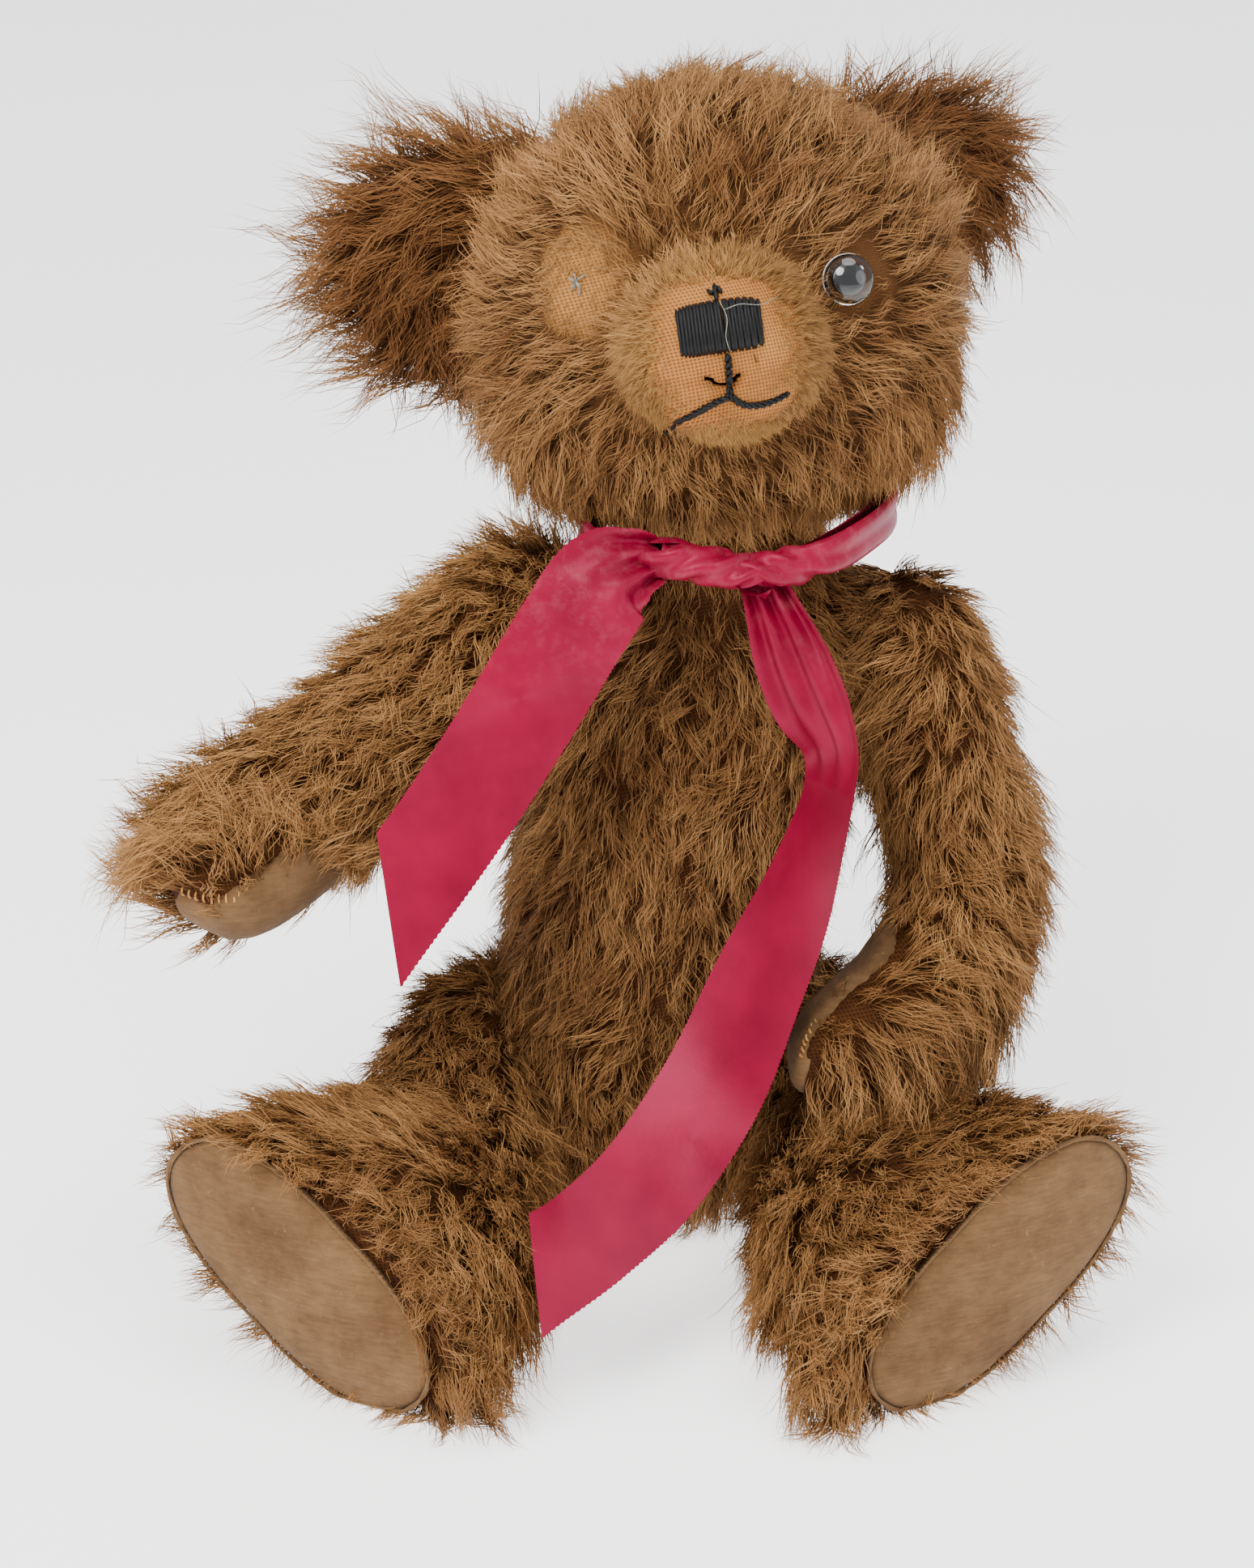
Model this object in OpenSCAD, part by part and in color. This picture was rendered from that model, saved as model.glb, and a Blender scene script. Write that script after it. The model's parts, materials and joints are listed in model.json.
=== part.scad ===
// Disc-jointed mohair teddy bear, seated, with one glass eye left and a ribbon tied round its neck.
// Millimetres, +Z up. The bear faces -Y and its own left side is at +X. The origin is the middle of
// the flat seat. Each limb, and the head, is stuffed around a hardboard disc that a cotter pin holds
// against a second disc inside the body, so each turns on its own pin.

/* [Body] */
// Length of the body from the seat to the neck joint
body_h = 183; // [178:1:186]
// Width of the body at the belly, without pile
body_w = 77; // [74:1:79]
// Depth of the body at the belly, without pile
body_d = 74; // [68:1:78]
// How far the body leans to the bear's left, in degrees
lean_side = 7.5; // [5:0.5:9]
// How far the body leans back, in degrees
lean_back = 5; // [2:0.5:8]

/* [Head] */
// Width of the head at the cheeks, without pile
head_w = 112; // [104:1:116]
// Height of the head above the neck joint
head_h = 101; // [97:1:104]
// Depth of the head without the muzzle
head_d = 98; // [92:1:102]
// How far the head tips over to the bear's right, in degrees
head_roll = 8; // [5:0.5:11]
// How far the face looks up, in degrees
head_pitch = 8; // [6:0.5:10]
// Diameter of the muzzle at its root
muzzle_d = 43; // [40:1:46]
// Diameter of the glass eye
eye_d = 11.5; // [10:0.5:13]

/* [Limbs] */
// Reach of an arm from its joint to the paw tip
arm_reach = 109; // [106:1:112]
// Reach of a leg from its joint to the sole
leg_reach = 107; // [104:1:109]
// Length of a foot pad
pad_length = 80; // [76:1:82]
// Width of a foot pad
pad_width = 39; // [37:1:42]
// Swing of the right arm forwards from straight down, in degrees
right_arm_swing = 55; // [52:1:58]
// Swing of the left arm forwards from straight down, in degrees
left_arm_swing = 32; // [31:1:35]
// Swing of both legs forwards from straight down, in degrees
leg_swing = 87; // [85:1:88]

/* [Cloth and joints] */
// Thickness of the backing cloth with its pile pressed flat
skin = 2; // [1.6:0.1:2.4]
// Thickness of a hardboard joint disc
disc_t = 3; // [2.5:0.1:3.2]
// Diameter of the neck discs
neck_disc_d = 36; // [34:1:38]
// Diameter of the hip discs
hip_disc_d = 34; // [32:1:36]
// Diameter of the shoulder discs
arm_disc_d = 26; // [24:1:27]
// Diameter of a cotter pin's shank
pin_d = 2.8; // [2.4:0.1:3]
// Width of the neck ribbon
ribbon_w = 25; // [24:0.5:26]

/* [Hidden] */
SIDES = ["right", "left"];
$fn = 48;

// Clearances: half the space at a joint plane, a turning pin in its hole, and a turning part in its hollow
gap = 0.15;
run_fit = 0.05;
free_fit = 0.4;
// Round faces of a soft solid, and its rings for each station
around = 24;
rings = 2;

washer_t = 1;
washer_d = 13;
pin_eye_r = 2.2;
card_t = 1.2;
pad_t = 1.5;
seam = 0.05;
far = 200;

pile_colour = [0.60, 0.43, 0.22];
pad_colour = [0.62, 0.50, 0.36];
muzzle_colour = [0.72, 0.53, 0.30];
stuffing_colour = [0.87, 0.80, 0.66];
board_colour = [0.45, 0.31, 0.18];
steel_colour = [0.70, 0.71, 0.73];
ribbon_colour = [0.78, 0.10, 0.27];
thread_colour = [0.07, 0.06, 0.06];

// ---------- curves and soft solids ----------

function unit(v) = v / norm(v);

// Catmull-Rom curve through the stations p, where t runs from 0 to the last index
function spline(p, t) =
    let (i = min(floor(t), len(p) - 2), f = t - i,
         a = p[max(i - 1, 0)], b = p[i], c = p[i + 1], d = p[min(i + 2, len(p) - 1)])
    b + f / 2 * (c - a + f * (2 * a - 5 * b + 4 * c - d + f * (3 * b - a - 3 * c + d)));

function centre(s) = [s[0], s[1], s[2]];

// A station is [x, y, z, half size across, half size deep, twist]. The first size lies along
// cross(path, ref), and the second along ref.
function section(s, path, ref) =
    let (u0 = unit(cross(path, ref)), v0 = cross(u0, path),
         u = cos(s[5]) * u0 + sin(s[5]) * v0, v = cos(s[5]) * v0 - sin(s[5]) * u0)
    [for (k = [0:around - 1]) let (a = 360 * k / around) centre(s) + s[3] * cos(a) * u + s[4] * sin(a) * v];

// A closed solid through rings of equally many points
module skin_over(sections) {
    n = len(sections[0]);
    m = len(sections);
    sides = [for (i = [0:m - 2]) for (k = [0:n - 1]) let (a = i * n + k, b = i * n + (k + 1) % n)
        each [[a, b, b + n], [a, b + n, a + n]]];
    polyhedron([for (s = sections) each s],
        concat([[for (k = [n - 1:-1:0]) k]], sides, [[for (k = [0:n - 1]) (m - 1) * n + k]]));
}

module soft(stations, ref) {
    steps = (len(stations) - 1) * rings;
    path = [for (i = [0:steps]) spline(stations, i / rings)];
    skin_over([for (i = [0:steps])
        section(path[i], unit(centre(path[min(i + 1, steps)]) - centre(path[max(i - 1, 0)])), ref)]);
}

// The stations of the same solid with its surface moved in by d
function inset(p, d) =
    let (n = len(p) - 1, first = unit(centre(p[1]) - centre(p[0])),
         last = unit(centre(p[n]) - centre(p[n - 1])))
    [for (i = [0:n]) let (c = centre(p[i]) + (i == 0 ? d * first : i == n ? -d * last : [0, 0, 0]))
        [c.x, c.y, c.z, max(p[i][3] - d, 0.8), max(p[i][4] - d, 0.8), p[i][5]]];

// ---------- placing ----------

// A point given in the body's own upright frame
function in_body(p) =
    let (y = p.y * cos(lean_back) + p.z * sin(lean_back), z = p.z * cos(lean_back) - p.y * sin(lean_back))
    [p.x * cos(lean_side) + z * sin(lean_side), y, z * cos(lean_side) - p.x * sin(lean_side)];

module body_frame() rotate([-lean_back, lean_side, 0]) children();

// A joint is [point on its plane, tilt of its axis above level, turn of its axis to the back]
shoulder_out = 36;
shoulder_h = [142, 153];
hip_out = 26;
hip_h = [35, 42];
// How far from each joint's axis the body is pressed flat against the limb: the right arm only over its
// own disc, the left arm and the legs over their whole inner side
shoulder_flat = [34, 110];
hip_flat = 60;
neck_tilt = [-6, 1, 0];
neck_point = in_body([0, 0, body_h]);
shoulder = [
    [in_body([-shoulder_out, 0, shoulder_h[0]]), 34, 15],
    [in_body([shoulder_out, 0, shoulder_h[1]]), -6, -6]
];
hip = [
    [in_body([-hip_out, -2, hip_h[0]]), -18, 12],
    [in_body([hip_out, -2, hip_h[1]]), -18, 12]
];

module neck_frame() translate(neck_point) rotate(neck_tilt) children();

// Right is 0 and left is 1. The joint's frame has +Z out of the body, +X down and +Y back.
module joint_frame(joints, side) {
    j = joints[side];
    translate(j[0]) mirror([side == 0 ? 1 : 0, 0, 0]) rotate([0, 90 - j[1], j[2]]) children();
}

module arm_frame(side) joint_frame(shoulder, side)
    rotate([0, 0, side == 0 ? -right_arm_swing : -left_arm_swing]) children();

module leg_frame(side) joint_frame(hip, side) rotate([0, 0, -leg_swing]) children();

// ---------- joint hardware, in a joint's frame ----------

disc_from = gap + skin;
washer_from = disc_from + disc_t;
washer_to = washer_from + washer_t;

module disc(d, hole) difference() {
    translate([0, 0, disc_from]) cylinder(d = d, h = disc_t);
    translate([0, 0, disc_from - 1]) cylinder(d = hole, h = disc_t + 2);
}

module washer(hole) difference() {
    translate([0, 0, washer_from]) cylinder(d = washer_d, h = washer_t);
    translate([0, 0, washer_from - 1]) cylinder(d = hole, h = washer_t + 2);
}

// The eye stands on the limb's washer, and the two legs are curled round against the body's
module cotter_pin() {
    wire_r = pin_d / 2;
    curl_r = 1.6;
    curl_at = -washer_to - 2 * run_fit;
    eye_at = washer_to + wire_r + pin_eye_r;
    translate([0, 0, curl_at - wire_r]) cylinder(d = pin_d, h = eye_at - curl_at + wire_r);
    translate([0, 0, eye_at]) rotate([90, 0, 0])
        rotate_extrude() translate([pin_eye_r, 0]) circle(r = wire_r * 0.9);
    for (a = [0, 180]) rotate([0, 0, a]) translate([curl_r, 0, curl_at])
        rotate([90, 0, 0]) rotate_extrude(angle = -180) translate([curl_r, 0]) circle(r = wire_r * 0.8);
}

// The room that one side's disc, washer and pin end take up in the stuffing
module hardware_room(d, turning) {
    clear = turning ? free_fit : 0;
    translate([0, 0, gap]) cylinder(d = d, h = washer_from - gap);
    translate([0, 0, gap]) cylinder(d = washer_d, h = washer_to - gap);
    translate([0, 0, gap])
        cylinder(r = 2 * pin_eye_r + pin_d + clear, h = washer_to + 2 * pin_eye_r + pin_d + clear);
}

module body_side() mirror([0, 0, 1]) children();

module pin_hole(clear) translate([0, 0, -10]) cylinder(d = pin_d + 2 * clear, h = 20);

// ---------- body ----------

body_stations = [
    [0, 0, -3, 17, 17, 0], [0, 0, 6, body_w * 0.37, body_d * 0.37, 0],
    [0, -2, 26, body_w * 0.46, body_d * 0.46, 0], [0, -4, 58, body_w * 0.49, body_d / 2, 0],
    [0, -4, 94, body_w / 2, body_d * 0.48, 0], [0, -1, 128, body_w * 0.5, body_d * 0.43, 0],
    [0, 0, 150, body_w * 0.46, body_d * 0.385, 0], [0, 0, body_h - 9, body_w * 0.355, body_d * 0.335, 0],
    [0, 0, body_h + 6, body_w * 0.26, body_d * 0.27, 0]
];
body_ref = [0, -1, 0];

module above_floor(from) translate([-far / 2, -far / 2, from]) cube([far, far, far]);

// The cloth over a shoulder disc stands a little out of the rest of the body
boss_r = arm_disc_d / 2 + skin + 0.6;
boss_h = 16;

// The body's shape with its surface moved in by d, flat at the seat and at the five joints
module body_shape(d) difference() {
    union() {
        intersection() {
            body_frame() soft(inset(body_stations, d), body_ref);
            above_floor(d);
        }
        for (side = [0, 1]) joint_frame(shoulder, side)
            translate([0, 0, -gap - boss_h]) cylinder(r = boss_r - d, h = boss_h);
    }
    neck_frame() translate([0, 0, -gap - d]) cylinder(r = 60, h = 40);
    for (side = [0, 1]) {
        joint_frame(shoulder, side) translate([0, 0, -gap - d]) cylinder(r = shoulder_flat[side], h = 30);
        joint_frame(hip, side) translate([0, 0, -gap - d]) cylinder(r = hip_flat, h = 40);
    }
}

module at_body_joints() {
    neck_frame() body_side() children(0);
    for (side = [0, 1]) {
        joint_frame(shoulder, side) body_side() children(1);
        joint_frame(hip, side) body_side() children(2);
    }
}

module torso_skin() color(pile_colour) difference() {
    body_shape(0);
    body_shape(skin);
    at_body_joints() {
        pin_hole(run_fit);
        pin_hole(run_fit);
        pin_hole(run_fit);
    }
    stitch_line() stitch_slot(0);
}

module torso_stuffing() color(stuffing_colour) difference() {
    body_shape(skin);
    at_body_joints() {
        hardware_room(neck_disc_d, true);
        hardware_room(arm_disc_d, true);
        hardware_room(hip_disc_d, true);
    }
}

// The hand-sewn seam that closes the back after stuffing
stitch_pitch = 9;
stitch_count = 7;
stitch_from = 62;
module stitch_line() body_frame() for (k = [0:stitch_count - 1])
    let (h = stitch_from + k * stitch_pitch, i = (h - 58) / 36 + 3,
         s = spline(body_stations, min(max(i, 3), 5)))
    translate([0, s[1] + s[4], h]) children();

module stitch_slot(grow) rotate([0, 18, 0]) cube([5 + grow, 2.4, 1.2 + grow], center = true);

module back_closing_stitches() color([0.42, 0.30, 0.16]) stitch_line() stitch_slot(0);

// ---------- head ----------

head_stations = [
    [3, 1, -9, head_w * 0.2, head_d * 0.2, 0], [3, 1, 0, head_w * 0.26, head_d * 0.26, 0],
    [3, -1, 9, head_w * 0.39, head_d * 0.38, 0], [3, -5, 24, head_w * 0.48, head_d * 0.465, 0],
    [3, -8, 43, head_w / 2, head_d / 2, 0], [3, -8, 62, head_w * 0.475, head_d * 0.485, 0],
    [3, -6, 79, head_w * 0.39, head_d * 0.42, 0], [3, -4, head_h - 10, head_w * 0.25, head_d * 0.29, 0],
    [3, -3, head_h - 3, head_w * 0.11, head_d * 0.13, 0], [3, -3, head_h, 3, 3, 0]
];

muzzle_r = muzzle_d / 2;
muzzle_z = 40;
muzzle_x = 3;
muzzle_root = -head_d * 0.33;
muzzle_tip = -head_d / 2 - 29;
muzzle_stations = [
    [muzzle_x, muzzle_root, muzzle_z, muzzle_r * 0.95, muzzle_r * 0.95, 0],
    [muzzle_x, muzzle_tip + 29, muzzle_z, muzzle_r, muzzle_r * 0.97, 0],
    [muzzle_x, muzzle_tip + 16, muzzle_z, muzzle_r * 0.93, muzzle_r * 0.88, 0],
    [muzzle_x, muzzle_tip + 8, muzzle_z + 0.5, muzzle_r * 0.78, muzzle_r * 0.72, 0],
    [muzzle_x, muzzle_tip + 3, muzzle_z + 1, muzzle_r * 0.5, muzzle_r * 0.46, 0],
    [muzzle_x, muzzle_tip, muzzle_z + 1, 3, 3, 0]
];

module head_frame() neck_frame() rotate([-head_pitch, -head_roll, 0]) children();

module head_shape(d) difference() {
    head_frame() soft(inset(head_stations, d), body_ref);
    neck_frame() translate([0, 0, gap + d - 40]) cylinder(r = 60, h = 40);
}

module muzzle_shape(d) head_frame() soft(inset(muzzle_stations, d), [0, 0, 1]);

// The rounded front of the head at height z, as a station
function head_at(z) = let (i = [for (k = [1:len(head_stations) - 2])
    if (head_stations[k][2] <= z && z < head_stations[k + 1][2]) k][0])
    spline(head_stations, i + (z - head_stations[i][2]) / (head_stations[i + 1][2] - head_stations[i][2]));

// A frame on the front of the head, x to the side and z up from the neck joint, with +Z out of the face
module on_face(x, z) {
    s = head_at(z);
    across = (x - s[0]) / s[3];
    round_off = sqrt(1 - across * across);
    turn = atan2(across / s[3], round_off / s[4]);
    head_frame() translate([x, s[1] - s[4] * round_off, z]) rotate([90, 0, turn]) children();
}

left_eye_at = [36, 52];
right_eye_at = [-28, 58];
eye_r = eye_d / 2;
eye_sunk = 1.5;

module eye_hollow() translate([0, 0, -eye_sunk]) cylinder(r = eye_r, h = 12);
module shank_hole() translate([0, 0, -11]) cylinder(r = 2.6, h = 12);

module head_skin() color(pile_colour) difference() {
    head_shape(0);
    head_shape(skin);
    muzzle_shape(0);
    neck_frame() pin_hole(0);
    on_face(left_eye_at[0], left_eye_at[1]) {
        eye_hollow();
        shank_hole();
    }
    on_face(right_eye_at[0], right_eye_at[1]) thread_knot();
}

module muzzle_skin() color(muzzle_colour) difference() {
    muzzle_shape(0);
    muzzle_shape(skin);
    head_shape(skin);
}

module head_stuffing() color(stuffing_colour) difference() {
    union() {
        head_shape(skin);
        muzzle_shape(skin);
    }
    neck_frame() hardware_room(neck_disc_d, false);
    on_face(left_eye_at[0], left_eye_at[1]) {
        eye_hollow();
        shank_hole();
    }
}

// A clear glass button with a black spot painted in a shallow hollow in its back, on a wire shank
pupil_r = 3.1;
pupil_t = 0.3;
module left_eye() color([0.85, 0.88, 0.9, 0.6]) on_face(left_eye_at[0], left_eye_at[1]) difference() {
    intersection() {
        translate([0, 0, -eye_sunk]) cylinder(r = eye_r, h = 12);
        translate([0, 0, -eye_r * 0.55]) sphere(r = eye_r * 1.16);
    }
    translate([0, 0, -eye_sunk - 1]) cylinder(r = pupil_r, h = 1 + pupil_t);
}

module left_eye_pupil() color("black") on_face(left_eye_at[0], left_eye_at[1])
    translate([0, 0, -eye_sunk]) cylinder(r = pupil_r, h = pupil_t);

module left_eye_shank() color(steel_colour) on_face(left_eye_at[0], left_eye_at[1]) {
    translate([0, 0, -eye_sunk - 4]) cylinder(r = 0.5, h = 4);
    translate([0, 0, -eye_sunk - 5.4]) rotate([90, 0, 0]) rotate_extrude() translate([1.6, 0]) circle(r = 0.5);
}

// What is left of the stitches that held the other eye
module thread_knot() for (a = [10, 65, 125]) rotate([0, 0, a]) cube([6.5, 1.2, 1.3], center = true);
module right_eye_thread() color([0.62, 0.6, 0.58]) on_face(right_eye_at[0], right_eye_at[1]) thread_knot();

// Wool worked over the muzzle: the part of a shell over its front that the children cover
module over_muzzle(thick) intersection() {
    difference() {
        muzzle_shape(-thick);
        muzzle_shape(0);
    }
    head_frame() translate([muzzle_x, muzzle_tip, muzzle_z]) children();
}

module stitch_box(x, z, w, h, turn)
    translate([x, 0, z]) rotate([0, turn, 0]) cube([w, 40, h], center = true);

nose_w = 17;
nose_h = 13;
nose_z = 4;
module nose_stitching() color(thread_colour) over_muzzle(2) union() {
    stitch_box(0, nose_z, nose_w, nose_h, 0);
    stitch_box(0, nose_z + nose_h / 2 + 2, 1.6, 5, 0);
}

mouth_z = -11.5;
module mouth_stitching() color(thread_colour) over_muzzle(1.3) union() {
    stitch_box(-0.5, (mouth_z + nose_z - nose_h / 2) / 2 - 0.1, 1.8, nose_z - nose_h / 2 - mouth_z, 0);
    stitch_box(-8.5, mouth_z - 2.9, 16.5, 1.8, -17);
    stitch_box(6.5, mouth_z - 2, 13, 1.8, 17);
}

// Ear: [height, raise, turn back, length of its base, reach past its root]
ears = [[54, 10, 12, 62, 42], [49, 17, 34, 56, 50]];
ear_root = 46;

module ear(side) {
    e = ears[side];
    half = e[3] / 2;
    difference() {
        head_frame() translate([0, -4, e[0]]) mirror([side == 0 ? 1 : 0, 0, 0]) rotate([0, -e[1], e[2]])
            soft([[34, 0, 0, 5, half * 0.93, 0], [52, 0, 0, 5.2, half, 0], [62, -1, 0, 5, half * 0.95, 0],
                [ear_root + e[4] * 0.65, -2, 0, 4.6, half * 0.78, 0],
                [ear_root + e[4] * 0.9, -4, 0, 4, half * 0.45, 0],
                [ear_root + e[4], -5, 0, 2, 4, 0]], [0, 0, 1]);
        head_frame() soft(inset(head_stations, -seam), body_ref);
    }
}

// ---------- arms ----------

// The left arm bows away from the body and its paw bends in again. The right arm has gone straight and
// its paw turns out, as a soft arm can. For each: [bow kept, outward turn and lift at the tip, roll of the
// paw, how much thicker the paw is than the pattern's]
arm_bend = [[0.15, 23, 16, 20, 1.4], [1, 0, 0, 0, 1]];
arm_mid = 12;
arm_bow = [
    [-19, 0, 10, 3, 3, 0], [-15.5, 0, 10, 9.5, 9, 0],
    [-9, 0, 11, 16.5, 15.5, 0], [2, 0, 12.5, 19.5, 18.5, 0],
    [arm_reach * 0.18, 1, 21, 19.5, 18, 0], [arm_reach * 0.38, 2, 32, 18.5, 17, 0],
    [arm_reach * 0.57, 0, 37, 17.5, 16, 0], [arm_reach * 0.74, -4, 34, 17.5, 15.5, 0],
    [arm_reach - 15, -10, 26, 17, 14.5, 0], [arm_reach - 5, -14, 19, 12, 11, 0],
    [arm_reach, -16, 15, 3, 3, 0]
];
function arm_stations(side) = [for (s = arm_bow)
    let (e = arm_bend[side], f = max(s.x, 0) / arm_reach)
    [s.x, s.y * e[0] + e[2] * f * f, arm_mid + (s.z - arm_mid) * e[0] + e[1] * f * f,
     s[3] * (1 + (e[4] - 1) * 0.4 * f), s[4] * (1 + (e[4] - 1) * f), e[3] * f]];
limb_ref = [0, 0, 1];

module limb_shape(stations, d) difference() {
    soft(inset(stations, d), limb_ref);
    translate([0, 0, gap + d - 40]) cylinder(r = 70, h = 40);
}

// The inner side of the paw, which the pad covers
paw_pad_l = 48;
paw_pad_w = 27;
module paw_region(side) {
    tip = arm_stations(side)[len(arm_bow) - 2];
    root = arm_stations(side)[len(arm_bow) - 4];
    along = centre(tip) - centre(root);
    translate(centre(tip))
        rotate([0, 0, atan2(along.y, along.x)]) rotate([0, -asin(along.z / norm(along)), 0])
        rotate([-arm_bend[side][3], 0, 0]) translate([6 - paw_pad_l / 2, 0, -30])
            linear_extrude(height = 29)
                polygon([for (k = [0:35]) [paw_pad_l / 2 * cos(k * 10), paw_pad_w / 2 * sin(k * 10)]]);
}

module arm_skin(side) color(pile_colour) arm_frame(side) difference() {
    limb_shape(arm_stations(side), 0);
    limb_shape(arm_stations(side), skin);
    paw_region(side);
    pin_hole(0);
}

module arm_stuffing(side) color(stuffing_colour) arm_frame(side) difference() {
    limb_shape(arm_stations(side), skin);
    hardware_room(arm_disc_d, false);
}

module paw_pad(side) color(pad_colour) arm_frame(side) intersection() {
    difference() {
        limb_shape(arm_stations(side), 0);
        limb_shape(arm_stations(side), skin);
    }
    paw_region(side);
}

// ---------- legs ----------

pad_half = pad_length / 2;
pad_side = pad_width / 2;
sole_twist = 30;
sole_at = leg_reach - pad_t;
leg_stations = [
    [-26, 0, 11, 3, 3, 0], [-22, 0, 11, 12, 10, 0], [-13, 0, 12, 21.5, 18, 0], [2, 0, 13.5, 27, 21, 4],
    [leg_reach * 0.22, 3, 17, 26.5, 21, 12], [leg_reach * 0.43, 4, 21, 26.5, 20.5, 20],
    [leg_reach * 0.62, 0, 25, pad_half * 0.77, pad_side * 1.06, 25],
    [leg_reach * 0.77, -6, 28, pad_half * 0.87, pad_side * 1.04, 29],
    [leg_reach * 0.89, -8, 31, pad_half * 0.96, pad_side * 1.02, sole_twist],
    [sole_at, -9, 33.5, pad_half, pad_side, sole_twist]
];

sole_end = leg_stations[len(leg_stations) - 1];
sole_dir = unit(centre(sole_end) - centre(spline(leg_stations, len(leg_stations) - 1 - 1 / rings)));

// A flat slice with the sole's outline less d, from one distance along the sole's direction to another
module sole_slice(d, from, to) skin_over([for (along = [from, to])
    section([for (i = [0:5])
        i < 3 ? sole_end[i] + along * sole_dir[i] : i < 5 ? sole_end[i] - d : sole_end[i]],
        sole_dir, limb_ref)]);

module leg_hollow() {
    limb_shape(leg_stations, skin);
    sole_slice(skin, -skin - 2, 1);
}

module leg_skin(side) color(pile_colour) leg_frame(side) difference() {
    limb_shape(leg_stations, 0);
    leg_hollow();
    pin_hole(0);
}

module leg_stuffing(side) color(stuffing_colour) leg_frame(side) difference() {
    leg_hollow();
    sole_slice(-5, -card_t, 4);
    hardware_room(hip_disc_d, false);
}

module foot_card(side) color(board_colour) leg_frame(side) sole_slice(skin, -card_t, 0);
module foot_pad(side) color(pad_colour) leg_frame(side) sole_slice(0, 0, pad_t);

// ---------- ribbon ----------

ribbon_t = 0.8;
module neck_band(from, to) neck_frame() translate([0, 0, from]) cylinder(r = 60, h = to - from);

module body_grown(d) body_frame() soft(inset(body_stations, -d), body_ref);

module ribbon_collar() color(ribbon_colour) difference() {
    intersection() {
        body_grown(seam + 1.4);
        neck_band(-11, -0.6);
    }
    body_grown(seam);
    knot_shape();
}

module knot_shape() neck_frame() translate([-1, -25, -7.5]) soft([
    [-17, 3, 1, 2, 3, 0], [-13, 0, 0.5, 4.5, 5.5, 0], [-4, -1, -0.5, 5.5, 6, 0], [5, -1, 0, 5, 5.5, 0],
    [13, 1, 1, 4, 4, 0], [18, 4, 2, 2, 3, 0]], limb_ref);

module ribbon_knot() color(ribbon_colour) difference() {
    knot_shape();
    body_grown(seam);
}

// A strip of ribbon. Each step is [x, y, z, lean, slant]: the middle of the ribbon, the way across it as
// an angle above level, and how far its left edge falls behind its right edge
module strip(steps, w) {
    n = len(steps) - 1;
    fine = [for (i = [0:2 * n]) spline(steps, i / 2)];
    m = len(fine) - 1;
    skin_over([for (i = [0:m])
        let (path = unit(centre(fine[min(i + 1, m)]) - centre(fine[max(i - 1, 0)])),
             flat = [cos(fine[i][3]), 0, sin(fine[i][3])], side = unit(flat - (flat * path) * path),
             up = cross(side, path), across = w / 2 * side + fine[i][4] * path, p = centre(fine[i]))
        [for (c = [[-1, -1], [1, -1], [1, 1], [-1, 1]]) p + c[0] * across + c[1] * ribbon_t / 2 * up]]);
}

right_tail = [[-4, -35, 184, 30, 0], [-11, -42, 171, 30, 0], [-24, -49, 152, 32, 0], [-39, -55, 131, 34, 3],
    [-54, -60, 110, 36, 10]];
left_tail = [[31, -34, 176, 15, 0], [37, -39, 163, 20, 0], [43, -43, 148, 10, 0], [44, -46, 134, -10, 0],
    [37, -50, 110, -24, 0], [27, -55, 86, -26, 0], [17, -61, 62, -34, 0], [3, -70, 47, -55, 0],
    [-12, -80, 39, -58, 4], [-25, -90, 31, -60, 8]];

module ribbon_right_tail() color(ribbon_colour) strip(right_tail, ribbon_w);
module ribbon_left_tail() color(ribbon_colour) strip(left_tail, ribbon_w);

// ---------- the joints' discs, washers and pins ----------

module torso_neck_disc() color(board_colour) neck_frame() body_side() disc(neck_disc_d, pin_d + 2 * run_fit);
module torso_neck_washer() color(steel_colour) neck_frame() body_side() washer(pin_d + 2 * run_fit);
module head_disc() color(board_colour) neck_frame() disc(neck_disc_d, pin_d);
module head_washer() color(steel_colour) neck_frame() washer(pin_d);
module neck_cotter_pin() color(steel_colour) neck_frame() cotter_pin();

module torso_limb_disc(joints, side, d) color(board_colour) joint_frame(joints, side) body_side()
    disc(d, pin_d + 2 * run_fit);
module torso_limb_washer(joints, side) color(steel_colour) joint_frame(joints, side) body_side()
    washer(pin_d + 2 * run_fit);
module limb_disc(joints, side, d) color(board_colour) joint_frame(joints, side) disc(d, pin_d);
module limb_washer(joints, side) color(steel_colour) joint_frame(joints, side) washer(pin_d);
module limb_pin(joints, side) color(steel_colour) joint_frame(joints, side) cotter_pin();

// ---------- every node ----------

torso_skin();
torso_stuffing();
torso_neck_disc();
torso_neck_washer();
back_closing_stitches();
ribbon_collar();
ribbon_knot();
ribbon_right_tail();
ribbon_left_tail();
head_skin();
muzzle_skin();
head_stuffing();
head_disc();
head_washer();
neck_cotter_pin();
color(pile_colour) ear(0);  // right_ear
color(pile_colour) ear(1);  // left_ear
left_eye();
left_eye_pupil();
left_eye_shank();
right_eye_thread();
nose_stitching();
mouth_stitching();
for (side = [0, 1]) {
    name = SIDES[side];
    torso_limb_disc(shoulder, side, arm_disc_d);
    torso_limb_washer(shoulder, side);
    torso_limb_disc(hip, side, hip_disc_d);
    torso_limb_washer(hip, side);
    arm_skin(side);
    arm_stuffing(side);
    paw_pad(side);
    limb_disc(shoulder, side, arm_disc_d);
    limb_washer(shoulder, side);
    limb_pin(shoulder, side);
    leg_skin(side);
    leg_stuffing(side);
    foot_pad(side);
    foot_card(side);
    limb_disc(hip, side, hip_disc_d);
    limb_washer(hip, side);
    limb_pin(hip, side);
}
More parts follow.
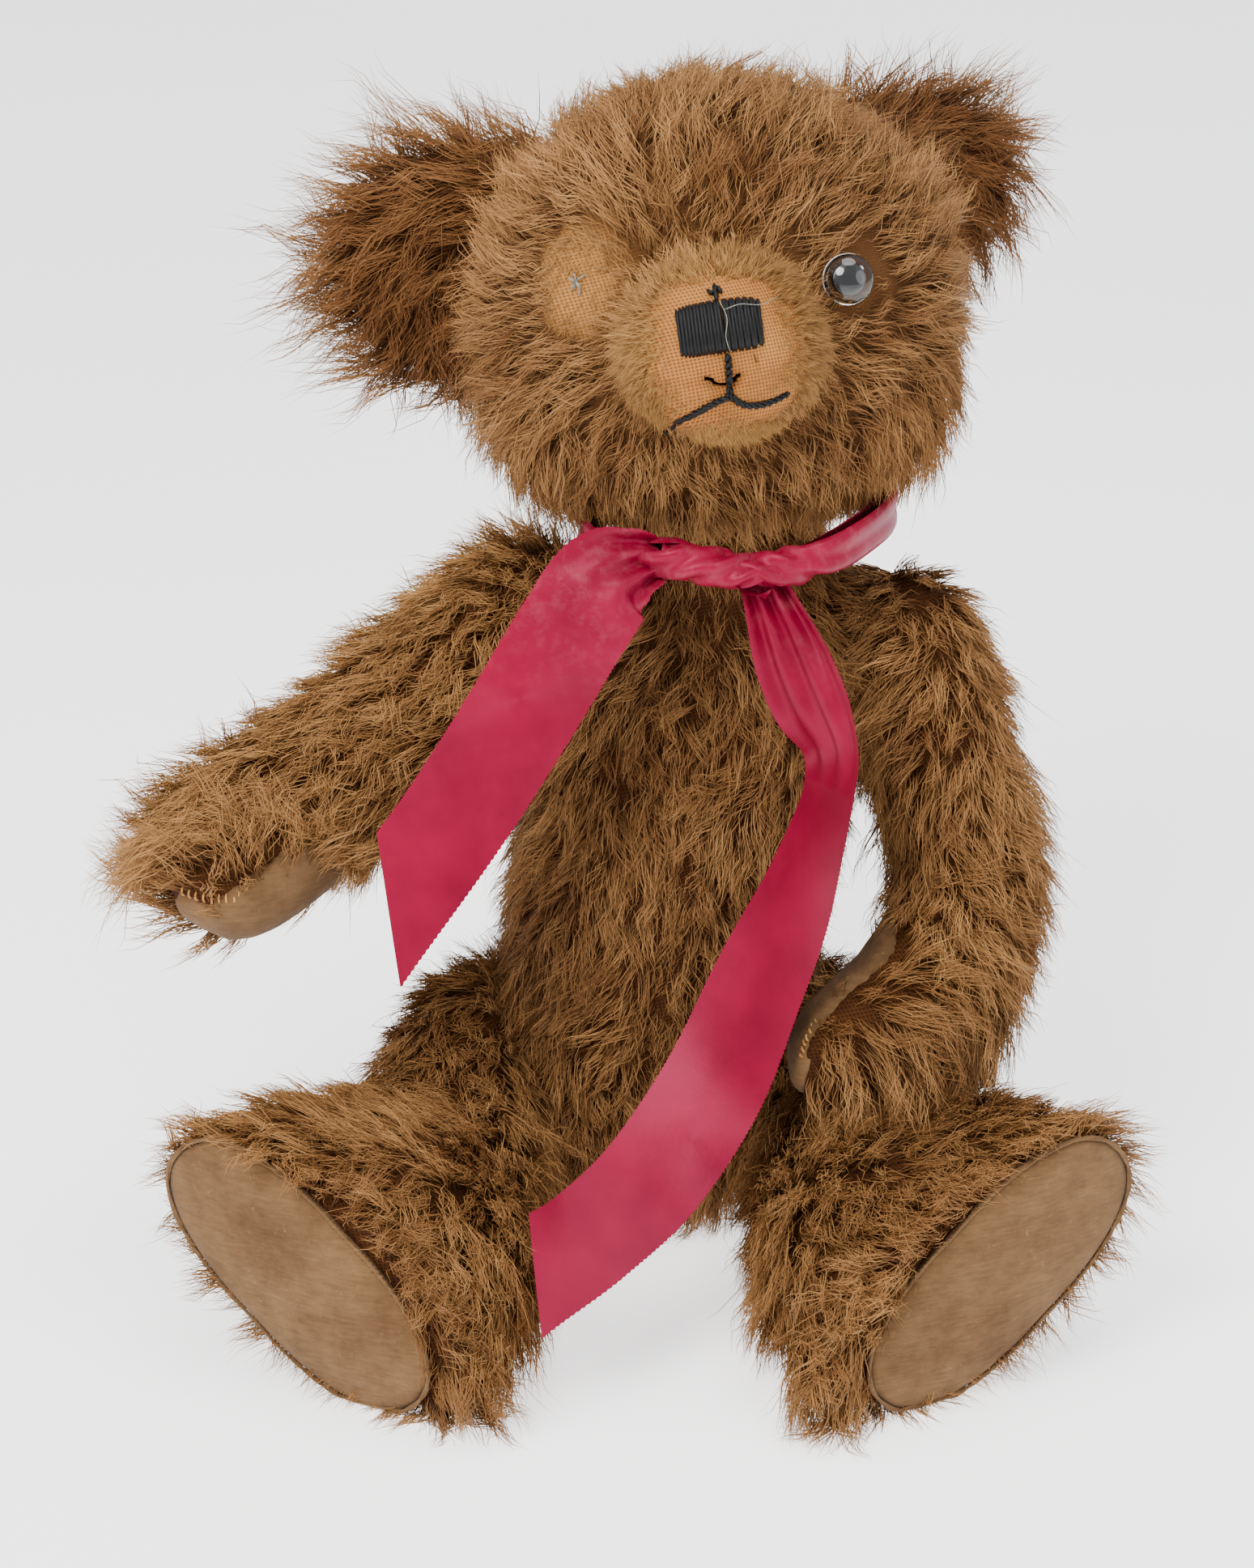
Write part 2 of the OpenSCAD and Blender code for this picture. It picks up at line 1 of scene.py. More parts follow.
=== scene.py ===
"""Looks of a jointed mohair teddy bear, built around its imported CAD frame.

Everything is in metres, in the frame's own axes: +Z up, the bear faces -Y and its left side is at +X.
The cloth of each stuffed part is blown up a little by a cloth simulation, and the pile on it is real
geometry: fine three-sided hairs, grown in locks and combed by a direction field of each part.
"""

import json
import math

import bmesh
import bpy
import numpy as np
from mathutils import Euler, Matrix, Vector
from mathutils.bvhtree import BVHTree

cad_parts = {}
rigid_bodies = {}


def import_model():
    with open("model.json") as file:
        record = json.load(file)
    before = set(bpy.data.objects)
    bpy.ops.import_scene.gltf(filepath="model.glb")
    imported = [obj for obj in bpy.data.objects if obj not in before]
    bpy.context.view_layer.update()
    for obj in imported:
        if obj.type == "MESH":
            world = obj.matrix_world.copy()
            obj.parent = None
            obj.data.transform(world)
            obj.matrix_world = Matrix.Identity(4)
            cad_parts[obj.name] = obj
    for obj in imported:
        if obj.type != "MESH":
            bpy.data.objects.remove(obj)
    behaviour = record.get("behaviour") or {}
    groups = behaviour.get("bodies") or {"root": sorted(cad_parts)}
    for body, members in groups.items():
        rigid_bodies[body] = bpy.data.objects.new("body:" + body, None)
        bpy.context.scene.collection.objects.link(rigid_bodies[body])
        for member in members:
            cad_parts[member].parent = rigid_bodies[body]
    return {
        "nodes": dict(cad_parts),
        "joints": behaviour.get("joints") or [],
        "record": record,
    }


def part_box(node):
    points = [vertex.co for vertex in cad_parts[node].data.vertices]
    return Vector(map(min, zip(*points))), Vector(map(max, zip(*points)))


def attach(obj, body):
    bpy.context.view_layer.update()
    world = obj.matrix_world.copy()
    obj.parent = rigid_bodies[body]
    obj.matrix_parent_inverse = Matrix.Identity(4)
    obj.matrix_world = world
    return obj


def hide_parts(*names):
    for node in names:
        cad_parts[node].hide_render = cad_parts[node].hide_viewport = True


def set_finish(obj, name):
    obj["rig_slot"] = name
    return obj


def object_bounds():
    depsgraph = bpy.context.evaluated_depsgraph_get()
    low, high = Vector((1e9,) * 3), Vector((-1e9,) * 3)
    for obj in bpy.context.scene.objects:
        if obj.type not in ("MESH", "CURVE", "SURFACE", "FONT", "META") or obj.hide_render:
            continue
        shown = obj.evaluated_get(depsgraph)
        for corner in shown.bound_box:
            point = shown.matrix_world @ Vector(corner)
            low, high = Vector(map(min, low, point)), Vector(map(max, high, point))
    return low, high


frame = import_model()
cad_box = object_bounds()
nodes = frame["nodes"]
joints = {j["name"]: j for j in frame["joints"]}

MM = 0.001
SIDES = {"right": -1, "left": 1}
UV_NAME = "OFBake"
UP = np.array([0.0, 0.0, 1.0])


# ---------- camera, lights and floor ----------

IMAGE_WIDTH = 1549
IMAGE_HEIGHT = 1937
TARGET = Vector((0, 0, 0.1134))
CAMERA_DISTANCE = 0.9
CAMERA_ELEVATION = math.radians(23)
FOCAL_PIXELS = 4526
SENSOR = 36


def add_camera():
    data = bpy.data.cameras.new("camera")
    data.sensor_width = SENSOR
    data.sensor_fit = "VERTICAL" if IMAGE_HEIGHT > IMAGE_WIDTH else "HORIZONTAL"
    data.sensor_height = SENSOR
    data.lens = FOCAL_PIXELS / max(IMAGE_WIDTH, IMAGE_HEIGHT) * SENSOR
    camera = bpy.data.objects.new("camera", data)
    bpy.context.scene.collection.objects.link(camera)
    back = Vector((0, -math.cos(CAMERA_ELEVATION), math.sin(CAMERA_ELEVATION)))
    camera.location = TARGET + CAMERA_DISTANCE * back
    camera.rotation_euler = (-back).to_track_quat("-Z", "Y").to_euler()
    bpy.context.scene.camera = camera


def add_area_light(name, place, aim, size, power, colour):
    data = bpy.data.lights.new(name, "AREA")
    data.shape = "DISK"
    data.size = size
    data.energy = power
    data.color = colour
    light = bpy.data.objects.new(name, data)
    bpy.context.scene.collection.objects.link(light)
    light.location = place
    light.rotation_euler = (Vector(aim) - Vector(place)).to_track_quat("-Z", "Y").to_euler()


def add_lights():
    middle = (0, 0, 0.12)
    add_area_light("key", (-0.55, -0.85, 1.15), middle, 0.7, 28, (1.0, 0.98, 0.95))
    add_area_light("fill", (0.9, -0.7, 0.6), middle, 0.9, 6, (0.95, 0.97, 1.0))
    add_area_light("top", (0.1, -0.1, 1.3), middle, 0.8, 11, (1.0, 0.99, 0.97))
    world = bpy.data.worlds.new("studio")
    world.use_nodes = True
    world.node_tree.nodes["Background"].inputs["Color"].default_value = (0.93, 0.95, 1.0, 1)
    world.node_tree.nodes["Background"].inputs["Strength"].default_value = 0.8
    bpy.context.scene.world = world


# ---------- materials ----------


def new_material(name):
    mat = bpy.data.materials.new(name)
    mat.use_nodes = True
    return mat, mat.node_tree, mat.node_tree.nodes["Principled BSDF"]


def set_inputs(node, **values):
    for key, value in values.items():
        node.inputs[key.replace("_", " ")].default_value = value


def add_node(tree, kind, **settings):
    node = tree.nodes.new(kind)
    for key, value in settings.items():
        setattr(node, key, value)
    return node


def ramp(tree, source, stops):
    node = tree.nodes.new("ShaderNodeValToRGB")
    while len(node.color_ramp.elements) < len(stops):
        node.color_ramp.elements.new(0.5)
    for element, (at, colour) in zip(node.color_ramp.elements, stops):
        element.position = at
        element.color = (*colour, 1)
    tree.links.new(source, node.inputs["Fac"])
    return node.outputs["Color"]


def mix_colours(tree, factor, a, b, blend="MIX"):
    node = add_node(tree, "ShaderNodeMix", data_type="RGBA", blend_type=blend)
    for socket, value in ((node.inputs["Factor"], factor), (node.inputs["A"], a), (node.inputs["B"], b)):
        if hasattr(value, "links"):
            tree.links.new(value, socket)
        else:
            socket.default_value = value if isinstance(value, float) else (*value, 1)
    return node.outputs["Result"]


def object_noise(tree, scale, detail=4.0, rough=0.55, stretch=(1, 1, 1)):
    place = tree.nodes.new("ShaderNodeTexCoord")
    mapping = tree.nodes.new("ShaderNodeMapping")
    mapping.inputs["Scale"].default_value = stretch
    noise = tree.nodes.new("ShaderNodeTexNoise")
    set_inputs(noise, Scale=scale, Detail=detail, Roughness=rough)
    tree.links.new(place.outputs["Object"], mapping.inputs["Vector"])
    tree.links.new(mapping.outputs[0], noise.inputs["Vector"])
    return noise.outputs["Fac"]


def bump(tree, shader, height, distance, strength=1.0):
    node = tree.nodes.new("ShaderNodeBump")
    set_inputs(node, Strength=strength, Distance=distance)
    tree.links.new(height, node.inputs["Height"])
    tree.links.new(node.outputs[0], shader.inputs["Normal"])


WARP = (0.95, 0.35, 0.2)
WEFT = (-0.2, 0.3, 0.95)


def weave(tree, pitch):
    """Height of a plain weave with that many metres between threads, from the object's own coordinates."""
    place = tree.nodes.new("ShaderNodeTexCoord")
    waves = []
    for direction in (WARP, WEFT):
        dot = add_node(tree, "ShaderNodeVectorMath", operation="DOT_PRODUCT")
        dot.inputs[1].default_value = [2 * math.pi / pitch * c for c in direction]
        tree.links.new(place.outputs["Object"], dot.inputs[0])
        wave = add_node(tree, "ShaderNodeMath", operation="SINE")
        tree.links.new(dot.outputs["Value"], wave.inputs[0])
        waves.append(wave.outputs[0])
    total = add_node(tree, "ShaderNodeMath", operation="ADD")
    tree.links.new(waves[0], total.inputs[0])
    tree.links.new(waves[1], total.inputs[1])
    half = add_node(tree, "ShaderNodeMath", operation="MULTIPLY_ADD")
    tree.links.new(total.outputs[0], half.inputs[0])
    half.inputs[1].default_value = 0.25
    half.inputs[2].default_value = 0.5
    return half.outputs[0]


def pile_material(name, dark_root, dark_tip, light_root, light_tip, roughness=0.5):
    """Hair, coloured along its length by V and from hair to hair by U of its own map. Its roots are darker than its
    tips, partly the hair's own colour and partly painted shade between the locks.
    """
    mat, tree, shader = new_material(name)
    uv = add_node(tree, "ShaderNodeUVMap", uv_map=UV_NAME)
    split = tree.nodes.new("ShaderNodeSeparateXYZ")
    tree.links.new(uv.outputs[0], split.inputs[0])
    dark = ramp(tree, split.outputs[1], [(0.0, dark_root), (0.55, dark_tip), (1.0, dark_tip)])
    light = ramp(tree, split.outputs[1], [(0.0, light_root), (0.6, light_tip), (1.0, light_tip)])
    tree.links.new(mix_colours(tree, split.outputs[0], dark, light), shader.inputs["Base Color"])
    set_inputs(shader, Roughness=roughness)
    set_inputs(shader, **{"Specular IOR Level": 0.15})
    return mat


def cloth_material(name, low, high, pitch, roughness=0.9, depth=0.15 * MM, spots=None):
    """Woven cloth: the weave as bump, and its colour clouded between two tones."""
    mat, tree, shader = new_material(name)
    clouds = ramp(tree, object_noise(tree, 60.0, 6.0, 0.65), [(0.3, low), (0.7, high)])
    threads = weave(tree, pitch)
    shade = ramp(tree, threads, [(0.15, (0.35, 0.30, 0.26)), (0.6, (1.0, 1.0, 1.0))])
    colour = mix_colours(tree, 0.85, clouds, shade, "MULTIPLY")
    if spots:
        specks = ramp(tree, object_noise(tree, 900.0, 2.0), [(0.68, (0, 0, 0)), (0.75, (1, 1, 1))])
        colour = mix_colours(tree, specks, colour, spots)
    tree.links.new(colour, shader.inputs["Base Color"])
    set_inputs(shader, Roughness=roughness)
    set_inputs(shader, **{"Specular IOR Level": 0.1})
    bump(tree, shader, threads, depth)
    return mat


def plain_material(name, low, high, scale, roughness, metallic=0.0, depth=0.05 * MM, specular=0.5):
    """One material clouded between two tones, with a fine grain as bump."""
    mat, tree, shader = new_material(name)
    colour = ramp(tree, object_noise(tree, scale, 5.0), [(0.35, low), (0.65, high)])
    tree.links.new(colour, shader.inputs["Base Color"])
    set_inputs(shader, Roughness=roughness, Metallic=metallic)
    set_inputs(shader, **{"Specular IOR Level": specular})
    bump(tree, shader, object_noise(tree, scale * 8, 3.0), depth)
    return mat


def glass_material():
    mat, tree, shader = new_material("eye_glass")
    set_inputs(shader, Roughness=0.03, IOR=1.5, Transmission_Weight=1.0)
    tint = ramp(tree, object_noise(tree, 200.0), [(0.3, (0.93, 0.95, 0.94)), (0.7, (0.98, 0.99, 0.98))])
    tree.links.new(tint, shader.inputs["Base Color"])
    return mat


def velveteen_material():
    """Worn velveteen: tan, paler where it is rubbed, with fine ribs and specks of fluff."""
    mat, tree, shader = new_material("velveteen")
    clouds = ramp(tree, object_noise(tree, 55.0, 8.0, 0.7), [(0.3, (0.085, 0.040, 0.014)), (0.72, (0.19, 0.105, 0.045))])
    ribs = object_noise(tree, 220.0, 4.0, 0.6, stretch=(1, 1, 6))
    fine = ramp(tree, ribs, [(0.35, (0.72, 0.72, 0.72)), (0.65, (1.0, 1.0, 1.0))])
    rubbed = ramp(tree, object_noise(tree, 420.0, 5.0, 0.8), [(0.60, (0, 0, 0)), (0.78, (0.5, 0.5, 0.5))])
    colour = mix_colours(tree, rubbed, mix_colours(tree, 0.8, clouds, fine, "MULTIPLY"), (0.30, 0.20, 0.11))
    tree.links.new(colour, shader.inputs["Base Color"])
    set_inputs(shader, Roughness=0.95, Sheen_Weight=0.05, Sheen_Roughness=0.6)
    set_inputs(shader, **{"Specular IOR Level": 0.1})
    bump(tree, shader, ribs, 0.12 * MM)
    return mat


def satin_material():
    """Satin: a strong sheen along the ribbon, fine cross ribs, and a painted highlight in pale specks on the parts that
    lie higher.
    """
    mat, tree, shader = new_material("ribbon_satin")
    clouds = ramp(tree, object_noise(tree, 45.0, 4.0), [(0.3, (0.12, 0.0005, 0.012)), (0.7, (0.21, 0.001, 0.022))])
    place = tree.nodes.new("ShaderNodeTexCoord")
    split = tree.nodes.new("ShaderNodeSeparateXYZ")
    tree.links.new(place.outputs["Object"], split.inputs[0])
    # Painted highlight: above about 0.17 m the ribbon turns pale pink in specks, where it lies higher.
    high = ramp(tree, split.outputs[2], [(0.15, (0, 0, 0)), (0.19, (1, 1, 1))])
    grain = ramp(tree, object_noise(tree, 260.0, 7.0, 0.7), [(0.48, (0, 0, 0)), (0.78, (0.22, 0.22, 0.22))])
    painted_highlight = mix_colours(tree, 1.0, high, grain, "MULTIPLY")
    tree.links.new(mix_colours(tree, painted_highlight, clouds, (0.42, 0.16, 0.17)), shader.inputs["Base Color"])
    set_inputs(shader, Roughness=0.42, Anisotropic=0.5)
    set_inputs(shader, **{"Specular IOR Level": 0.45, "Specular Tint": (1.0, 0.22, 0.38, 1)})
    bump(tree, shader, object_noise(tree, 700.0, 3.0), 0.03 * MM)
    return mat


# The very dark root colours are partly painted shade deep between the locks.
MOHAIR = pile_material(
    "mohair", (0.024, 0.0065, 0.002), (0.16, 0.062, 0.018), (0.085, 0.029, 0.008), (0.43, 0.222, 0.078)
)
DARK_MOHAIR = pile_material(
    "dark_mohair", (0.022, 0.007, 0.002), (0.09, 0.034, 0.008), (0.06, 0.02, 0.005), (0.25, 0.115, 0.03)
)
SHORT_PILE = pile_material(
    "short_pile", (0.10, 0.035, 0.008), (0.22, 0.10, 0.024), (0.20, 0.085, 0.02), (0.42, 0.23, 0.070)
)
# The backing is dark brown, partly its own colour and partly painted shade where it shows between the locks.
BACKING = cloth_material("backing", (0.030, 0.009, 0.002), (0.07, 0.024, 0.006), 0.9 * MM)
BARE_BACKING = cloth_material("bare_backing", (0.30, 0.11, 0.026), (0.42, 0.18, 0.05), 0.8 * MM, depth=0.35 * MM)


# ---------- meshes ----------


def add_object(name, mesh, material=None):
    piece = bpy.data.objects.new(name, mesh)
    bpy.context.scene.collection.objects.link(piece)
    if material is not None:
        mesh.materials.clear()
        mesh.materials.append(material)
    return piece


def mesh_from(name, verts, faces, smooth=True):
    mesh = bpy.data.meshes.new(name)
    mesh.from_pydata([tuple(v) for v in verts], [], [tuple(f) for f in faces])
    mesh.update()
    mesh.polygons.foreach_set("use_smooth", [smooth] * len(mesh.polygons))
    return mesh


def coordinates(mesh):
    co = np.empty(len(mesh.vertices) * 3, np.float32)
    mesh.vertices.foreach_get("co", co)
    return co.reshape(-1, 3).astype(float)


def set_coordinates(mesh, co):
    mesh.vertices.foreach_set("co", np.asarray(co, np.float32).ravel())
    mesh.update()


def vertex_normals(mesh):
    normals = np.empty(len(mesh.vertices) * 3, np.float32)
    mesh.vertices.foreach_get("normal", normals)
    return normals.reshape(-1, 3).astype(float)


def triangles(mesh):
    mesh.calc_loop_triangles()
    tris = np.empty(len(mesh.loop_triangles) * 3, np.int32)
    mesh.loop_triangles.foreach_get("vertices", tris)
    return tris.reshape(-1, 3)


def unit(vectors):
    vectors = np.asarray(vectors, float)
    return vectors / np.maximum(np.linalg.norm(vectors, axis=-1, keepdims=True), 1e-12)


def apply_modifiers(piece):
    depsgraph = bpy.context.evaluated_depsgraph_get()
    mesh = bpy.data.meshes.new_from_object(piece.evaluated_get(depsgraph))
    old = piece.data
    piece.modifiers.clear()
    piece.data = mesh
    bpy.data.meshes.remove(old)


def joined_mesh(name, node_names):
    """One mesh of the copies of several CAD solids."""
    bm = bmesh.new()
    for node in node_names:
        bm.from_mesh(nodes[node].data)
    mesh = bpy.data.meshes.new(name)
    bm.to_mesh(mesh)
    bm.free()
    return mesh


def keep_largest_shell(mesh):
    bm = bmesh.new()
    bm.from_mesh(mesh)
    left, shells = set(bm.verts), []
    while left:
        todo, shell = [left.pop()], []
        while todo:
            vert = todo.pop()
            shell.append(vert)
            for edge in vert.link_edges:
                other = edge.other_vert(vert)
                if other in left:
                    left.remove(other)
                    todo.append(other)
        shells.append(shell)
    shells.sort(key=len)
    for shell in shells[:-1]:
        bmesh.ops.delete(bm, geom=shell, context="VERTS")
    bm.to_mesh(mesh)
    bm.free()


def remeshed(name, node_names, voxel):
    piece = add_object(name, joined_mesh(name, node_names))
    remesh = piece.modifiers.new("remesh", "REMESH")
    remesh.mode = "VOXEL"
    remesh.voxel_size = voxel
    apply_modifiers(piece)
    keep_largest_shell(piece.data)
    return piece


CLOTH_SHRINK = 1.0 * MM
CLOTH_CAP = 1.8 * MM
CLOTH_FRAMES = 20


def blow_up(piece):
    """Fills the closed cloth with pressure and lets it swell by no more than the cap."""
    start = coordinates(piece.data) - CLOTH_SHRINK * vertex_normals(piece.data)
    set_coordinates(piece.data, start)
    cloth = piece.modifiers.new("cloth", "CLOTH")
    cloth.settings.use_pressure = True
    cloth.settings.uniform_pressure_force = 4
    cloth.settings.effector_weights.gravity = 0
    cloth.settings.mass = 0.3
    cloth.point_cache.frame_start = 1
    cloth.point_cache.frame_end = CLOTH_FRAMES
    for step in range(1, CLOTH_FRAMES + 1):
        bpy.context.scene.frame_set(step)
    apply_modifiers(piece)
    bpy.context.scene.frame_set(1)
    swollen = coordinates(piece.data)
    move = swollen - start
    far = np.linalg.norm(move, axis=1, keepdims=True)
    set_coordinates(piece.data, start + move * np.minimum(1, CLOTH_CAP / np.maximum(far, 1e-9)))


def joint_plane(name, child_side):
    """The point and the normal of a joint's plane. The normal points away from the side that is kept."""
    joint = joints[name]
    axis = np.array(joint["axis"], float)
    outward = 1 if name != "left_shoulder" and name != "left_hip" else -1
    point = np.array(joint["pos_m"], float)
    return point, axis * outward * (-1 if child_side else 1)


FLAT_DEPTH = 0.2 * MM
FLAT_REACH = 0.034


def keep_off_joints(piece, planes):
    """Presses the cloth flat where it meets a joint's plane."""
    co = coordinates(piece.data)
    for point, normal in planes:
        high = (co - point) @ normal + FLAT_DEPTH
        along = co - point - np.outer((co - point) @ normal, normal)
        near = (high > 0) & (np.linalg.norm(along, axis=1) < FLAT_REACH * 1.6)
        co[near] -= np.outer(high[near], normal)
    set_coordinates(piece.data, co)


def subdivide(piece, levels=1):
    modifier = piece.modifiers.new("subdivision", "SUBSURF")
    modifier.levels = levels
    modifier.render_levels = levels
    apply_modifiers(piece)
    piece.data.polygons.foreach_set("use_smooth", [True] * len(piece.data.polygons))


COVER_DEPTH = 0.7 * MM
COVER_REACH = 9 * MM
FLOOR_CLEARANCE = 0.25 * MM


def cover(piece, inner_nodes):
    """Brings the cloth out wherever it would lie under the solids it covers, and up off the floor."""
    mesh = joined_mesh(piece.name + "_inside", inner_nodes)
    tree = BVHTree.FromPolygons([v.co.copy() for v in mesh.vertices], [tuple(f.vertices) for f in mesh.polygons])
    co = coordinates(piece.data)
    for i, spot in enumerate(co):
        on, normal, _, gap = tree.find_nearest(Vector(spot), COVER_REACH)
        if on is not None and (Vector(spot) - on) @ normal < COVER_DEPTH:
            co[i] = on + normal * COVER_DEPTH
    co[:, 2] = np.maximum(co[:, 2], FLOOR_CLEARANCE)
    set_coordinates(piece.data, co)
    bpy.data.meshes.remove(mesh)


JOINT_OF = {"head": "neck_swivel"}
for side_name in SIDES:
    JOINT_OF[f"{side_name}_arm"] = f"{side_name}_shoulder"
    JOINT_OF[f"{side_name}_leg"] = f"{side_name}_hip"


def stuffed(name, body, replaced, inside, voxel=4.5 * MM):
    """A stuffed part: its CAD solids remeshed, blown up, and pressed flat at its joints."""
    piece = remeshed(name, replaced + inside, voxel)
    blow_up(piece)
    if body == "torso":
        planes = [joint_plane(j, False) for j in joints]
    else:
        planes = [joint_plane(JOINT_OF[body], True)]
    keep_off_joints(piece, planes)
    subdivide(piece)
    covered = [node for node in inside if node.endswith("_stuffing")]
    if covered:
        cover(piece, covered)
    piece.data.materials.clear()
    piece.data.materials.append(BACKING)
    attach(piece, body)
    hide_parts(*replaced)
    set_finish(piece, "mohair")
    return piece


# ---------- the pile ----------

LONG_HAIR = 4
SHORT_HAIR = 2
HAIR_SIDES = 3
HAIRS_PER_PIECE = 9400
ROOT_DEPTH = 0.8 * MM


class Waves:
    """A smooth field of values from -1 to 1, from a few sine waves of about one length."""

    def __init__(self, rng, length, count=7):
        self.k = unit(rng.normal(size=(count, 3))) * (2 * math.pi / length) * rng.uniform(0.6, 1.5, (count, 1))
        self.phase = rng.uniform(0, 2 * math.pi, count)

    def at(self, points):
        return np.sin(points @ self.k.T + self.phase).mean(axis=1) * 1.8


def spread_points(mesh, spacing, rng):
    """Points and normals spread fairly evenly over a mesh, about one to a cell of that spacing."""
    co, tris = coordinates(mesh), triangles(mesh)
    normals = vertex_normals(mesh)
    a, b, c = (co[tris[:, i]] for i in range(3))
    area = np.linalg.norm(np.cross(b - a, c - a), axis=1) / 2
    count = int(area.sum() / spacing**2 * 4)
    pick = rng.choice(len(tris), count, p=area / area.sum())
    u, v = rng.random((2, count))
    flip = u + v > 1
    u[flip], v[flip] = 1 - u[flip], 1 - v[flip]
    w = np.stack([1 - u - v, u, v], axis=1)[:, :, None]
    points = (w * co[tris[pick]]).sum(axis=1)
    facing = unit((w * normals[tris[pick]]).sum(axis=1))
    cells = np.floor(points / spacing).astype(np.int64)
    key = (cells[:, 0] * 73856093) ^ (cells[:, 1] * 19349663) ^ (cells[:, 2] * 83492791)
    _, first = np.unique(key, return_index=True)
    return points[first], facing[first]


def turn_about(vectors, axes, angles):
    c, s = np.cos(angles)[:, None], np.sin(angles)[:, None]
    dot = (vectors * axes).sum(axis=1, keepdims=True)
    return vectors * c + np.cross(axes, vectors) * s + axes * dot * (1 - c)


def grow_locks(points, normals, flow, length, rng, lift, tone, hairs, spread, clump, segments,
               curl=0.4, stray=0.08):
    """Hairs grouped in locks. Returns their spines and tones.

    points and normals are the locks' roots, flow their combed direction, and length their length. lift is
    how far a lock stands up at its root, clump how far its hairs draw together at their tips.
    """
    n = len(points)
    across = unit(np.cross(normals, flow))
    steps = np.linspace(0, 1, segments + 1)
    lean = np.clip(lift + rng.normal(0, 0.12, n), 0.1, 1.3)
    start = unit(normals * lean[:, None] + flow * (1.05 - lean[:, None] * 0.6))
    upright = np.clip((lean - 0.75) / 0.5, 0, 1)
    end = unit(normals * (lean * (0.35 + 0.6 * upright))[:, None] + flow)
    guide = np.zeros((n, segments + 1, 3))
    bend = rng.normal(0, curl, (n, 1))
    for k in range(segments):
        t = (k + 0.5) / segments
        heading = unit(start * (1 - t) + end * t + across * bend * math.sin(2.4 * math.pi * t))
        guide[:, k + 1] = guide[:, k] + heading / segments
    owner = np.repeat(np.arange(n), hairs)
    m = len(owner)
    angle = rng.uniform(0, 2 * math.pi, m)
    radius = spread * np.sqrt(rng.random(m))
    offset = across[owner] * (radius * np.cos(angle))[:, None]
    offset += np.cross(normals, across)[owner] * (radius * np.sin(angle))[:, None]
    size = length[owner] * rng.uniform(0.62, 1.12, m)
    wild = rng.random(m) < stray
    draw = np.where(wild, -0.6, clump)
    frizz = rng.normal(0, 1, (m, 3)) * np.where(wild, 0.16, 0.055)[:, None]
    wave = rng.normal(0, 1, (m, 3)) * 0.035
    spine = guide[owner] * size[:, None, None]
    spine += (points[owner] - normals[owner] * ROOT_DEPTH)[:, None, :]
    spine += offset[:, None, :] * (1 - draw[:, None] * steps[None, :] ** 0.8)[:, :, None]
    spine += (frizz * size[:, None])[:, None, :] * (steps**1.6)[None, :, None]
    spine += (wave * size[:, None])[:, None, :] * np.sin(steps * 2.1 * math.pi)[None, :, None]
    tones = np.clip(tone[owner] + rng.normal(0, 0.13, m), 0.02, 0.98)
    return spine, tones


def hair_mesh(name, spine, tones, width):
    """A mesh of tapered three-sided hairs, with U the tone and V from 0 at the root to 1 at the tip."""
    m, rings = len(spine), spine.shape[1] - 1
    spine = spine.copy()
    spine[:, :, 2] = np.maximum(spine[:, :, 2], FLOOR_CLEARANCE)
    heading = unit(np.diff(spine, axis=1))
    heading = np.concatenate([heading[:, :1], unit(heading[:, 1:] + heading[:, :-1])], axis=1)
    side = unit(np.cross(heading, np.array([0.31, 0.52, 0.79])))
    up = np.cross(heading, side)
    verts = np.empty((m, rings * HAIR_SIDES + 1, 3), np.float32)
    for k in range(rings):
        taper = width * (1 - k / rings) ** 0.55 / 2
        for j in range(HAIR_SIDES):
            a = 2 * math.pi * j / HAIR_SIDES
            ring = spine[:, k] + taper[:, None] * (math.cos(a) * side[:, k] + math.sin(a) * up[:, k])
            verts[:, k * HAIR_SIDES + j] = ring
    verts[:, -1] = spine[:, -1]
    quads, quad_uv = [], []
    for k in range(rings - 1):
        for j in range(HAIR_SIDES):
            low, next_j = k * HAIR_SIDES, (j + 1) % HAIR_SIDES
            quads.append([low + j, low + next_j, low + HAIR_SIDES + next_j, low + HAIR_SIDES + j])
            quad_uv.append([(j - 1, k), (next_j - 1, k), (next_j - 1, k + 1), (j - 1, k + 1)])
    tips, tip_uv = [], []
    last = (rings - 1) * HAIR_SIDES
    for j in range(HAIR_SIDES):
        next_j = (j + 1) % HAIR_SIDES
        tips.append([last + j, last + next_j, rings * HAIR_SIDES])
        tip_uv.append([(j - 1, rings - 1), (next_j - 1, rings - 1), (0, rings)])
    loops = np.array([i for f in quads + tips for i in f])
    uv = np.array([p for f in quad_uv + tip_uv for p in f], float)
    base = (np.arange(m) * verts.shape[1])[:, None]
    all_loops = (base + loops[None, :]).astype(np.int32).ravel()
    totals = np.array([4] * len(quads) + [3] * len(tips), np.int32)
    all_totals = np.tile(totals, m)
    starts = np.concatenate([[0], np.cumsum(all_totals)[:-1]]).astype(np.int32)
    mesh = bpy.data.meshes.new(name)
    mesh.vertices.add(m * verts.shape[1])
    mesh.vertices.foreach_set("co", verts.ravel())
    mesh.loops.add(len(all_loops))
    mesh.loops.foreach_set("vertex_index", all_loops)
    mesh.polygons.add(len(all_totals))
    mesh.polygons.foreach_set("loop_start", starts)
    mesh.polygons.foreach_set("loop_total", all_totals)
    mesh.polygons.foreach_set("use_smooth", np.ones(len(all_totals), bool))
    layer = mesh.uv_layers.new(name=UV_NAME)
    tone_step = 0.006
    u = tones[:, None] + uv[None, :, 0] * tone_step
    v = np.broadcast_to(uv[:, 1] / rings, (m, len(uv)))
    layer.data.foreach_set("uv", np.stack([u, v], axis=2).astype(np.float32).ravel())
    mesh.update(calc_edges=True)
    mesh.validate()
    return mesh


